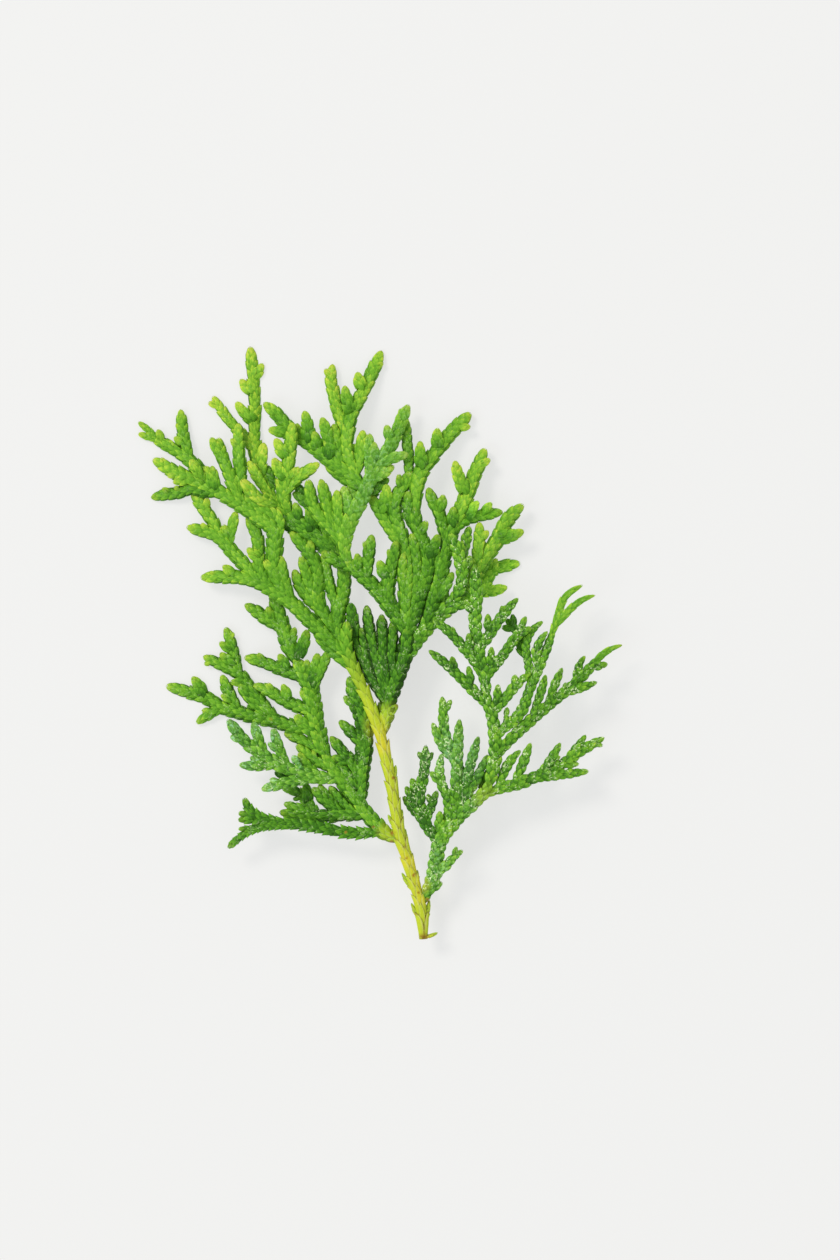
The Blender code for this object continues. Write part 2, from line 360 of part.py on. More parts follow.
# The fine, dark spray that rises from the right of the stem and lies over the rest.
RAISED_SPRAY = (
    ("raised_spray_lower", 1.25, (JOIN, 8.4, 10.4, 12.3),
     ((9.3, -57.3), (11.2, -53.8), (12.3, -51), (12.8, -48), (13.2, -45), (14.5, -42),
      (16.5, -39.5), (18.7, -37),
      (21, -35), (23.5, -32.4), (24.7, -29.6)),
     ((14, -52.6), (10.9, -51.6), (13.6, -37))),
    ("raised_spray_lower", 0.85, (JOIN, 9, 9.2),
     ((12.4, -50.6), (14.5, -49.2), (16.3, -47.3), (18.5, -45.5)),
     ((17.2, -44.8),)),
    ("raised_spray_middle", 1.15, (JOIN, 13.2, 12.8),
     ((24.3, -31.2), (25.1, -28), (25.6, -25), (25.7, -22), (25.5, -19), (25, -16), (24.1, -13),
      (23.6, -10)), ()),
    ("raised_spray_upper", 1.1, (JOIN, 11.9, 10.8, 9.8),
     ((23.8, -11.6), (23.5, -8.5), (22.9, -6), (22.1, -3), (21.6, 0), (21.4, 3), (21.3, 6),
      (21.6, 9.5), (21.4, 13),
      (21.2, 17.2)),
     ((19.2, 9.4),)),
    ("raised_left_fork", 0.9, (JOIN, 12.6, 11.2),
     ((24.3, -14), (22, -11.5), (19.5, -9), (17, -6.5), (14, -3.8), (11.3, -1.7)), ((16.2, -3.1),
      (19.8, -5.2))),
    ("raised_spray_upper", 0.9, (JOIN, 12.2, 11.2),
     ((23, -6.8), (21.8, -5), (20, -2.4), (17.5, 0.5), (15, 3), (12.2, 5)), ((16.3, 3.4), (19.8, 2))),
    ("raised_right_fork", 0.95, (JOIN, 11.4, 10.4),
     ((21.9, -2.4), (23, 0), (24.6, 2.1), (26.5, 5), (28.3, 7.3), (30.6, 9.7)),
     ((27.2, 8), (24.1, 6.2))),
    ("raised_right_lower_fork", 0.9, (JOIN, 12, 10.6),
     ((23.4, -8.2), (25.5, -5), (27.5, -2.5), (29.5, 0.3), (31.5, 2.5), (32.6, 5.6)),
     ((29.8, 6.4, -1.8), (27.9, 4.2, -2), (24.9, -1), (33.4, 3.4))),
    ("raised_spray_middle", 0.9, (JOIN, 12.6, 12),
     ((25, -15.6), (27.5, -12.6), (29.5, -10), (31.5, -8), (33.4, -6.6)), ((26.3, -9.2), (30.1, -7))),
    ("raised_outer_upper", 0.92, (JOIN, 12.8, 12, 11.2, 10.6),
     ((25.6, -21), (27.3, -18.9), (29.9, -16.7), (31.8, -14.2), (32.8, -11), (34, -7.5),
      (35.3, -4.5), (36.7, -1.5),
      (38.3, 2.8)),
     ((28.3, -14.2),)),
    ("raised_outer_upper", 0.65, (JOIN, 10.5, 10.8),
     ((37.8, 1.4), (39.3, 5.5), (41, 8.9), (44.5, 12.4)), ()),
    ("raised_outer_upper", 0.58, (JOIN, 10.6, 10.9), ((39, 4.8), (43, 8.3), (47.1, 10.4)), ()),
    ("raised_outer_upper", 0.85, (JOIN, 11.4), ((34.9, -5.2), (34.7, -1.8), (35.6, 0.6), (37, 2.4)), ()),
    ("raised_outer_upper", 0.75, (JOIN, 10.4, 9.8),
     ((33.2, -9.5), (32.3, -5), (32.4, -1.5), (33.8, 2.3), (36, 4.6)), ()),
    ("raised_outer_middle", 0.98, (JOIN, 12.4, 11, 9.6, 8.6),
     ((25.6, -25.2), (28.3, -21.8), (31, -19.1), (34, -16.3), (37, -13.7), (40, -11), (43, -8.5),
      (46, -6), (48.6, -3.9)),
     ((45.4, -3), (50.2, -4.6), (41.2, -8.6))),
    ("raised_outer_middle", 0.58, (JOIN, 8.3), ((47.6, -4.7), (50.6, -2.2), (53.5, -0.4)), ((52, -2),)),
    ("raised_outer_middle", 0.85, (JOIN, 11.4), ((33.6, -16.6), (35.9, -11), (36.7, -7.1)), ()),
    ("raised_outer_middle", 0.85, (JOIN, 10.8), ((37, -13.7), (38.8, -9), (40.3, -5.6)), ()),
    ("raised_outer_middle", 0.85, (JOIN, 9.8), ((39.5, -11.4), (44.2, -9.9), (47.9, -8.6)), ()),
    ("raised_outer_lower", 1, (JOIN, 11.4, 10, 8.9, 8.2),
     ((23, -33.2), (27, -31.7), (31, -30.7), (34.7, -29.2), (38, -27.8), (41, -26.2), (44, -24),
      (46.5, -22.5),
      (49.5, -20.8)),
     ((45.6, -20.3), (49.2, -22.4), (43.9, -26.5))),
    ("raised_outer_lower", 0.9, (JOIN, 11.6),
     ((26.6, -31.8), (28.2, -28), (29.7, -25.4), (31.3, -23.6)), ()),
    ("raised_outer_lower", 0.95, (JOIN, 11.2), ((30.4, -30.8), (32, -26.5), (33.6, -22)), ()),
    ("raised_outer_lower", 0.9, (JOIN, 10.2), ((35.4, -28.9), (38.2, -25), (39.9, -22)), ((39.8, -24.9),)),
    ("raised_outer_lower", 0.85, (JOIN, 9.2),
     ((36.5, -28.4), (39.5, -28.6), (42.8, -28.3), (46.1, -28.1)), ()),
    ("raised_inner_long", 1, (JOIN, 11.3, 10.6, 9.2),
     ((17.9, -38), (17.2, -34), (17.2, -30), (17, -26), (16, -22), (15, -18.5), (14.6, -15), (14.3, -11.7)),
     ((16, -12.6), (17.9, -16.8))),
    ("raised_inner_long", 0.85, (JOIN, 10), ((16.6, -24.6), (13.3, -20.2), (12, -17.6)), ()),
    ("raised_inner_short", 0.9, (JOIN, 11.9, 11.4),
     ((18.9, -36.8), (19.2, -32.5), (20, -29), (21, -25), (21.9, -20.6)), ()),
    ("raised_inner_short", 0.85, (JOIN, 12, 11.5),
     ((19.1, -34.2), (21.2, -30.5), (22.7, -27.3), (24, -24.6)), ()),
    ("raised_inner_middle", 0.9, (JOIN, 10.4, 9.4),
     ((16, -40), (15.7, -36.5), (15.2, -33.5), (14, -31), (13.5, -28), (14, -24.4)), ((11.6, -28.3),)),
    ("raised_inner_left", 1, (JOIN, 9.2, 8.6, 8.4),
     ((13.4, -44.6), (12.5, -42.6), (10.8, -40.2), (9.3, -37), (9.2, -33), (9.7, -30), (10, -27),
      (10.5, -22.5)),
     ((5.6, -33.8, -2.4), (6.2, -31.6, -0.6), (7.4, -29.8), (12, -24.1))),
    ("raised_inner_left", 0.9, (JOIN, 9.4), ((10.4, -39.6), (12, -35), (13, -32.4)), ((11, -33.2),)),
)

LEFT_HALF = LEFT_ARM + LONG_LEFT_SPRAY + LEADER
RIGHT_HALF = CENTRE + COLUMNS + RIGHT_SIDE
GROWTH = STEM + LEFT_HALF + RIGHT_HALF + LOWER_LEFT + RAISED_SPRAY


def clearScene():
    for item in list(bpy.data.objects):
        bpy.data.objects.remove(item, do_unlink=True)
    for store in (bpy.data.meshes, bpy.data.materials):
        for item in list(store):
            store.remove(item)


def makeMaterial(finish):
    name, colour, roughness = finish
    material = bpy.data.materials.get(name)
    if material:
        return material
    material = bpy.data.materials.new(name)
    material.use_nodes = True
    shader = material.node_tree.nodes["Principled BSDF"]
    shader.inputs["Base Color"].default_value = (*colour, 1)
    shader.inputs["Roughness"].default_value = roughness
    shader.inputs["Metallic"].default_value = 0
    material.diffuse_color = (*colour, 1)
    return material


def lengthsAlong(points):
    # Distance of every point of a line from its first point.
    total = 0
    found = [0]
    for start, end in zip(points, points[1:]):
        total += (end - start).length
        found.append(total)
    return found


def heightAt(heights, share):
    # Heights stand evenly along the line; between them the height runs straight.
    place = min(max(share, 0), 1) * (len(heights) - 1)
    low = min(int(place), len(heights) - 2)
    return heights[low] + (heights[low + 1] - heights[low]) * (place - low)


def nearestOn(points, spot):
    # Nearest place on a line seen from above: distance to it, length along the line, the place.
    flatSpot = Vector((spot[0], spot[1]))
    lengths = lengthsAlong(points)
    best = None
    for index, (start, end) in enumerate(zip(points, points[1:])):
        flatStart = Vector((start.x, start.y))
        run = Vector((end.x, end.y)) - flatStart
        share = min(max((flatSpot - flatStart).dot(run) / run.length_squared, 0), 1)
        distance = (flatStart + run * share - flatSpot).length
        if best is None or distance < best[0]:
            along = lengths[index] + (end - start).length * share
            best = (distance, along, start.lerp(end, share))
    return best


def pointAt(points, along):
    lengths = lengthsAlong(points)
    for index in range(len(points) - 1):
        if along <= lengths[index + 1]:
            share = (along - lengths[index]) / (lengths[index + 1] - lengths[index])
            return points[index].lerp(points[index + 1], share)
    return points[-1].copy()


def axisLine(heights, path, grown):
    # The axis in space. A foot with no height of its own takes that of the branch under it.
    flat = [Vector((x, y, 0)) * MM for x, y in path]
    lengths = lengthsAlong(flat)
    heights = [height if height is JOIN else height * MM for height in heights]
    if heights[0] is JOIN:
        nearest = min((nearestOn(line, flat[0]) for line in grown), key=lambda found: found[0])
        heights[0] = nearest[2].z
    return [Vector((spot.x, spot.y, heightAt(heights, along / lengths[-1])))
            for spot, along in zip(flat, lengths)]


def twigLine(axis, tip, lean):
    # A side twig leaves its axis at a fixed lean and bends a little forwards.
    spot = Vector((tip[0], tip[1], 0)) * MM
    distance, along, _ = nearestOn(axis, spot)
    start = max(along - distance * lean, FIRST_FOOT)
    foot = pointAt(axis, start)
    rise = tip[2] * MM if len(tip) > 2 else 0
    end = Vector((spot.x, spot.y, foot.z + rise))
    ahead = pointAt(axis, start + SHOULDER) - foot
    out = end - foot
    side = out - ahead * (out.dot(ahead) / ahead.length_squared)
    middle = foot + out * 0.5 + side * TWIG_BEND
    return [foot, middle, end]


def straightened(line, limit):
    # Points that stand almost on the straight line between their neighbours are left out.
    kept = [line[0]]
    for index in range(1, len(line) - 1):
        run = line[index + 1] - kept[-1]
        offset = line[index] - kept[-1]
        share = offset.dot(run) / run.length_squared
        if (offset - run * share).length > limit:
            kept.append(line[index])
    kept.append(line[-1])
    return kept


def tubeRings(line, halfWidth, limit):
    # Places and half widths of the rings of a tube: drawn in at the foot, blunt at the tip.
    line = straightened(line, limit)
    lengths = lengthsAlong(line)
    total = lengths[-1]
    rings = [(0, FOOT_SHARE)] + [(along, 1) for along in lengths[1:-1] if along < total - SHOULDER * 1.3]
    if total > SHOULDER * 2:
        rings.append((total - SHOULDER, SHOULDER_SHARE))
    rings.append((total, TIP_SHARE))
    return [(pointAt(line, along), halfWidth * MM * share) for along, share in rings]


def faceDistance(outline, wide, thick):
    # How far the nearest side of a tube stands from its middle line.
    corners = [Vector((across * wide, over * thick)) for across, over in outline]
    following = corners[1:] + corners[:1]
    return min(abs(start.cross(end)) / (end - start).length for start, end in zip(corners, following))


def tubeMesh(name, rings, ratio, outline, grow):
    # A closed flattened tube through the rings, all its sides moved out by grow.
    places = [place for place, _ in rings]
    sides = len(outline)
    vertices = []
    faces = []
    for index, (place, half) in enumerate(rings):
        before = places[max(index - 1, 0)]
        after = places[min(index + 1, len(places) - 1)]
        ahead = (after - before).normalized()
        side = ahead.cross(Vector((0, 0, 1))).normalized()
        up = side.cross(ahead)
        if index == 0:
            place = place - ahead * grow
        if index == len(rings) - 1:
            place = place + ahead * grow
        scale = 1 + grow / faceDistance(outline, half, half * ratio)
        for across, over in outline:
            vertices.append(place + (side * across + up * (over * ratio)) * (half * scale))
        if index:
            base = (index - 1) * sides
            for corner in range(sides):
                beside = (corner + 1) % sides
                faces.append((base + corner, base + beside, base + sides + beside, base + sides + corner))
    faces.append(tuple(reversed(range(sides))))
    faces.append(tuple(range(len(vertices) - sides, len(vertices))))
    mesh = bpy.data.meshes.new(name)
    mesh.from_pydata([tuple(vertex) for vertex in vertices], [], faces)
    bm = bmesh.new()
    bm.from_mesh(mesh)
    bmesh.ops.recalc_face_normals(bm, faces=bm.faces)
    bm.to_mesh(mesh)
    bm.free()
    return mesh


def boxOf(rings):
    reach = max(half for _, half in rings) + GAP * 3
    low = [min(place[axis] for place, _ in rings) - reach for axis in range(3)]
    high = [max(place[axis] for place, _ in rings) + reach for axis in range(3)]
    return low, high


def boxesMeet(first, second):
    return all(first[0][axis] < second[1][axis] and second[0][axis] < first[1][axis] for axis in range(3))


def growTubes():
    # Every tube of the plant in the order of growth: solid, rings, thickness ratio, outline.
    tubes = []
    grown = []
    for node, halfWidth, heights, path, tips in GROWTH:
        axis = axisLine(heights, path, grown)
        grown.append(axis)
        isStem = node == "main_stem"
        ratio = STEM_THICK_RATIO if isStem else THICK_RATIO
        # The tip of the leader has six sides too, for a flat underside to rest on.
        if isStem or node == "leader_upper":
            tubes.append((node, tubeRings(axis, halfWidth, STEM_STRAIGHT), ratio, SIX_SIDES))
        else:
            tubes.append((node, tubeRings(axis, halfWidth, STRAIGHT_ENOUGH), ratio, FOUR_SIDES))
        for tip in tips:
            if isStem:
                twig = twigLine(axis, tip, LEAF_LEAN)
                half = LEAF_HALF_WIDTH
            else:
                twig = twigLine(axis, tip, TWIG_LEAN)
                half = FINE_HALF_WIDTH if node.startswith("raised") else TWIG_HALF_WIDTH
            tubes.append((node, tubeRings(twig, half, STRAIGHT_ENOUGH), THICK_RATIO, FOUR_SIDES))
    return tubes


def addTemporary(name, mesh, collection):
    item = bpy.data.objects.new(name, mesh)
    item.hide_render = True
    item.display_type = "WIRE"
    collection.objects.link(item)


def combine(item, collection, operation):
    # The exact Boolean of one object with everything in a collection, made plain at once.
    modifier = item.modifiers.new("combine", "BOOLEAN")
    modifier.operation = operation
    modifier.solver = "EXACT"
    modifier.operand_type = "COLLECTION"
    modifier.collection = collection
    bpy.context.view_layer.update()
    graph = bpy.context.evaluated_depsgraph_get()
    mesh = bpy.data.meshes.new_from_object(item.evaluated_get(graph))
    item.modifiers.clear()
    item.data = mesh


def emptyCollection(collection):
    for item in list(collection.objects):
        mesh = item.data
        bpy.data.objects.remove(item, do_unlink=True)
        bpy.data.meshes.remove(mesh)


def connectedBodies(bm):
    # The separate bodies of a mesh as sets of vertices, smallest first.
    unseen = set(bm.verts)
    bodies = []
    while unseen:
        body = {unseen.pop()}
        edge = list(body)
        while edge:
            vertex = edge.pop()
            for link in vertex.link_edges:
                other = link.other_vert(vertex)
                if other in unseen:
                    unseen.discard(other)
                    body.add(other)
                    edge.append(other)
        bodies.append(body)
    return sorted(bodies, key=len)


def keepMainBody(mesh):
    # Crumbs that a cut leaves at a foot are dropped, and the body is closed and turned outwards.
    bm = bmesh.new()
    bm.from_mesh(mesh)
    bmesh.ops.remove_doubles(bm, verts=bm.verts, dist=MERGE)
    bmesh.ops.dissolve_degenerate(bm, dist=MERGE, edges=bm.edges)
    for body in connectedBodies(bm)[:-1]:
        bmesh.ops.delete(bm, geom=list(body), context="VERTS")
    bmesh.ops.triangulate(bm, faces=bm.faces)
    bmesh.ops.recalc_face_normals(bm, faces=bm.faces)
    bm.to_mesh(mesh)
    bm.free()


def makeSolid(node, own, earlier):
    # One solid: its own tubes joined, then cut back to keep the gap to everything grown earlier.
    scratch = bpy.data.collections.new("scratch")
    bpy.context.scene.collection.children.link(scratch)
    item = bpy.data.objects.new(node, tubeMesh(node, *own[0][1:], 0))
    bpy.context.scene.collection.objects.link(item)
    for tube in own[1:]:
        addTemporary("limb", tubeMesh("limb", *tube[1:], 0), scratch)
    if len(own) > 1:
        combine(item, scratch, "UNION")
        emptyCollection(scratch)
    boxes = [boxOf(tube[1]) for tube in own]
    for tube in earlier:
        if any(boxesMeet(boxOf(tube[1]), box) for box in boxes):
            addTemporary("clearance", tubeMesh("clearance", *tube[1:], GAP), scratch)
    if len(scratch.objects):
        combine(item, scratch, "DIFFERENCE")
        emptyCollection(scratch)
    bpy.data.collections.remove(scratch)
    keepMainBody(item.data)
    item.data.materials.clear()
    item.data.materials.append(makeMaterial(FINISH[node]))
    item.data.name = node
    return item


def centreOnFloor(solids):
    # The middle of the outline comes to the origin and the lowest point to the floor.
    corners = [vertex.co for item in solids for vertex in item.data.vertices]
    low = [min(corner[axis] for corner in corners) for axis in range(3)]
    high = [max(corner[axis] for corner in corners) for axis in range(3)]
    middle = Vector(((low[0] + high[0]) / 2, (low[1] + high[1]) / 2, low[2]))
    for item in solids:
        for vertex in item.data.vertices:
            vertex.co = vertex.co - middle
        item.data.update()
    print("middle of the drawing frame, in millimetres", [round(value / MM, 4) for value in middle])
    print("size in millimetres", [round((top - bottom) / MM, 2) for bottom, top in zip(low, high)])


def buildPart():
    clearScene()
    tubes = growTubes()
    solids = []
    earlier = []
    for node in dict.fromkeys(tube[0] for tube in tubes):
        own = [tube for tube in tubes if tube[0] == node]
        solids.append(makeSolid(node, own, earlier))
        earlier.extend(own)
    centreOnFloor(solids)
    print("solids", len(solids), "triangles", sum(len(item.data.polygons) for item in solids))


buildPart()
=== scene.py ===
from math import radians, sin

import bmesh
import bpy
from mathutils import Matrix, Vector


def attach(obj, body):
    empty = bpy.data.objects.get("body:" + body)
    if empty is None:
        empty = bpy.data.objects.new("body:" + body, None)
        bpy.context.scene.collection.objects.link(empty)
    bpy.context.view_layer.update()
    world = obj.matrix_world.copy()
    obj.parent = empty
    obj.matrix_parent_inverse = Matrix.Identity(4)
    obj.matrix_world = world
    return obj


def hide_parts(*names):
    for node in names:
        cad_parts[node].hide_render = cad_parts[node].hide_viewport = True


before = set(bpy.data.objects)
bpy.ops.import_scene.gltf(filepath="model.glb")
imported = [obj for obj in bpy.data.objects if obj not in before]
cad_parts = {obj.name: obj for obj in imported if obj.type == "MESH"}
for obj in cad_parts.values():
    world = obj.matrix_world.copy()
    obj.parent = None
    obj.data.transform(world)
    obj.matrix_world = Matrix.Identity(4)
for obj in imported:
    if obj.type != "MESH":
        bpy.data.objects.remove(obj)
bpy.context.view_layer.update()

# A cut spray of arborvitae lying on a pale surface. Its growth is written in millimetres of a drawing
# frame: x runs right, y runs up the plant, heights are above the surface. An entry names the branch, its
# kind of growth and how much its youth differs from the rest of that kind. Its axes follow: half width,
# heights along it, its course seen from above and the tips of its side twigs, some with their rise.

join = None    # a foot that takes its height from the branch under it
mm = 0.001
drawingMiddle = Vector((0.4202, 0.0829, 0)) * mm    # the middle of the outline, where the origin is

# The main stem, its pointed leaves and the small leaf beside the cut.
stemGrowth = (
    ("main_stem", "stem", 0,
     (1.28, (5.6, 6.9, 7.8, 8.5, 8.9, 8.6, 9.5), ((10, -65), (9.8, -61), (9.3, -57.5), (8.4, -54),
      (7.2, -50), (6.2, -46.5), (5.2, -43.5), (4.4, -40), (3.8, -36), (3.2, -32), (2.5, -28.5),
      (1.6, -24.5), (0.7, -20.5), (-0.5, -17), (-2, -13), (-3.7, -9), (-5.3, -5.5), (-6.3, -3),
      (-6.9, -0.5), (-6.9, 2.4), (-6.8, 4.9)), ((7.3, -57.1), (5.2, -50.4), (2.1, -33.6), (2.2, -37.6),
      (11.3, -56.4), (8.6, -49.7), (7.1, -45.4), (6, -40.7), (5.3, -36.4), (3.9, -26.7), (13.2, -63.6)))),
)

# The branch that leaves the top of the stem to the left.
leftArmGrowth = (
    ("left_arm", "fresh", -0.08,
     (1.15, (join, 7.9, 6.9, 5.7, 3.6), ((-6.3, -2.8), (-9.5, -0.3), (-12.5, 2.7), (-15.5, 5.5), (-18, 8),
      (-20.5, 10), (-23.5, 11.9), (-26.5, 13.4), (-30, 14.4), (-34, 14.6), (-38.9, 14.4)), ((-36.9, 15.6),
      (-34, 16.9))),
     (1, (join, 7.4, 6.6), ((-5.4, -5.8), (-8, -3.2), (-11, -0.6), (-14, 2.8)))),
    ("left_arm_outer_fork", "fresh", -0.04,
     (1.05, (join, 4.9, 4, 2.8), ((-26, 13.3), (-29.5, 17.3), (-32, 20), (-34, 22.3), (-36.5, 24),
      (-42, 25.5)), ((-38.8, 26.2),)),
     (0.95, (join, 4, 3.6), ((-32.8, 21), (-32.2, 25), (-31.3, 28.8)), ((-34, 25.9),))),
    ("left_arm_upper_fork", "fresh", 0.05,
     (1, (join, 3, 1.2), ((-34.3, 22.6), (-36.3, 26.5), (-38.3, 29.5), (-41, 33.3)), ((-37.7, 31.9),))),
    ("left_arm_inner_fork", "fresh", -0.04,
     (1, (join, 5.8, 4, 2.8), ((-23.3, 11.7), (-25, 14.2), (-25.9, 16.5), (-26.2, 20), (-26.7, 23.8),
      (-28.8, 27.8)), ((-28.6, 20.8),))),
)

# The long spray that rises from the left arm.
longLeftGrowth = (
    ("long_left_spray", "fresh", -0.04,
     (1.2, (join, 6.7, 6.2, 5.2, 3.9, 2.4, 1), ((-19.6, 9.4), (-21.3, 12.3), (-22.6, 14.5), (-23, 17.5),
      (-22.7, 21), (-23, 25), (-26.5, 27.8), (-30.5, 30.7), (-34, 32.8), (-37.5, 34.6), (-41, 36),
      (-45, 37.8), (-49.6, 40.5)), ((-46.3, 36.8), (-45, 35.4), (-24.8, 18.1), (-47.7, 40.7),
      (-38, 38.7))),
     (1, (join, 5.6, 5.4), ((-22.3, 22.5), (-21.9, 25), (-22, 27.6), (-23.6, 29.6))),
     (1.05, (join, 5.4, 4.6), ((-21.8, 26.4), (-24.6, 28.9), (-27.5, 30.7), (-30, 32.8))),
     (0.95, (join, 6.7, 6.4), ((-18.9, 9.9), (-20.3, 13), (-21, 16), (-21.3, 19))),
     (0.95, (join, 4.9, 5), ((-38, 34.9), (-39.6, 37.6), (-41.2, 40.2))),
     (0.9, (join, 4.8), ((-35.2, 33.6), (-36.5, 38.8)), ((-35.5, 38.1),))),
    ("long_left_upper_fork", "fresh", -0.05,
     (1, (join, 2.9, 1.7, 0.7), ((-36.6, 34.3), (-39.2, 38), (-42.5, 41), (-46, 43.3), (-49.9, 45.4)),
      ((-45.9, 44.6), (-48.6, 46.9))),
     (0.62, (join, 0.9), ((-48.4, 44.8), (-50.6, 46.9), (-52.7, 48.6))),
     (0.66, (join, 0.8), ((-48.4, 44.7), (-50.8, 45.5), (-52.7, 46.1))),
     (0.95, (join, 1.8, 1.2), ((-41.4, 40.1), (-42.2, 43), (-43, 46), (-43.5, 51.3)), ((-44.4, 48.2),
      (-44.8, 45.3)))),
    ("long_left_lower_fork", "fresh", -0.26,
     (0.95, (join, 3, 1.9, 0.8), ((-34.6, 33), (-38, 33.4), (-41, 34), (-44, 33.1), (-47, 32.7),
      (-49.9, 32.1)), ((-47.5, 34), (-44.8, 34.3)))),
    ("long_left_inner_fork", "fresh", -0.04,
     (1, (join, 5.2, 4.3, 2.4), ((-29.5, 30.1), (-31.3, 34), (-33.3, 38.5), (-34.6, 42), (-35.2, 45.1)),
      ((-33.2, 41.4, -0.6),)),
     (0.95, (join, 3), ((-34.1, 40), (-35.6, 42.8), (-36.7, 45.1))),
     (0.95, (join, 4.8, 3.7), ((-30.5, 32.4), (-30.2, 37), (-30.6, 42), (-30.8, 48.2)), ((-32.2, 44.8),))),
)

# The branch that goes on upwards and to the left.
leaderGrowth = (
    ("leader_lower", "mid", 0.05,
     (1.15, (join, 6.9, 6.3, 6), ((-6.9, -1.4), (-8.9, 2.4), (-8.7, 7), (-7.7, 11), (-7.4, 15),
      (-8.2, 18.9))),
     (0.9, (join, 5.4), ((-8.8, 7), (-10.4, 12), (-11.2, 15.5), (-12, 19.6)))),
    ("leader_side_fork", "fresh", -0.12,
     (1.05, (join, 6.6, 6, 5.2), ((-8.9, 2), (-11, 5), (-12.7, 8), (-13.3, 11), (-13, 14.5), (-13.7, 17.7),
      (-16, 20.8), (-19.2, 24.3)), ((-15, 22.4),)),
     (0.98, (join, 5.8, 5.2), ((-12.9, 8.6), (-14.9, 12.8), (-15.9, 16), (-17, 19))),
     (0.98, (join, 5.6, 4.8), ((-12.2, 6.9), (-15, 9.6), (-17.2, 12.7), (-18.4, 16)))),
    ("leader_middle", "mid", -0.08,
     (1.15, (join, 5.6, 4.5), ((-7.9, 16.9), (-8.6, 19.2), (-10.5, 21.6), (-13.5, 23.9), (-17, 26.3),
      (-20.6, 29.1)), ((-18.3, 30.7, 0.4), (-15.5, 29.7, 0.5))),
     (1, (join, 5, 4.6), ((-8.6, 18.4), (-12, 21.2), (-15.6, 23.7), (-19.2, 26.4), (-23, 29))),
     (0.95, (join, 5), ((-10.3, 21.4), (-11.7, 25), (-13.3, 28.2)))),
    ("leader_upper", "fresh", 0.12,
     (1, (join, 4.1, 3, 1.8, 0.55, 0.55, 0.55, 0.55), ((-19.9, 28.6), (-22.5, 31), (-24.5, 34), (-26, 38),
      (-27, 42), (-27.3, 46), (-27.2, 52), (-27.5, 57), (-27.8, 61), (-28.2, 65.2)), ((-25.5, 61.5),
      (-30.3, 58), (-31.2, 53))),
     (1.1, (join, 4.2), ((-25.5, 36.8), (-25.6, 40.2), (-25.1, 43.9))),
     (1.05, (join, 6.5, 6.9), ((-21.9, 30.3), (-24.6, 30.9), (-27, 32.4), (-29.9, 35.8))),
     (0.95, (join, 4.6), ((-23.4, 32.2), (-25.7, 35.4), (-28.5, 39.9)))),
    ("leader_left_fork", "fresh", 0.12,
     (0.85, (join, 1.6, 0.7), ((-27, 42), (-29.4, 45.1), (-31.7, 47.8), (-33.8, 50.3), (-36.4, 54.3)),
      ((-37.3, 53),))),
    ("leader_right_fork", "fresh", 0.07,
     (1.08, (join, 6.2, 6.6, 5.4), ((-19.6, 28.3), (-20.7, 32.5), (-20.2, 36), (-19.6, 40), (-19.1, 44.5),
      (-18.8, 48.3)), ((-22.5, 44.8), (-22.9, 40.5), (-17.4, 38.5), (-22.1, 36))),
     (1, (join, 6.4, 6.4), ((-20.5, 32.6), (-18, 36), (-13, 39.4)))),
)

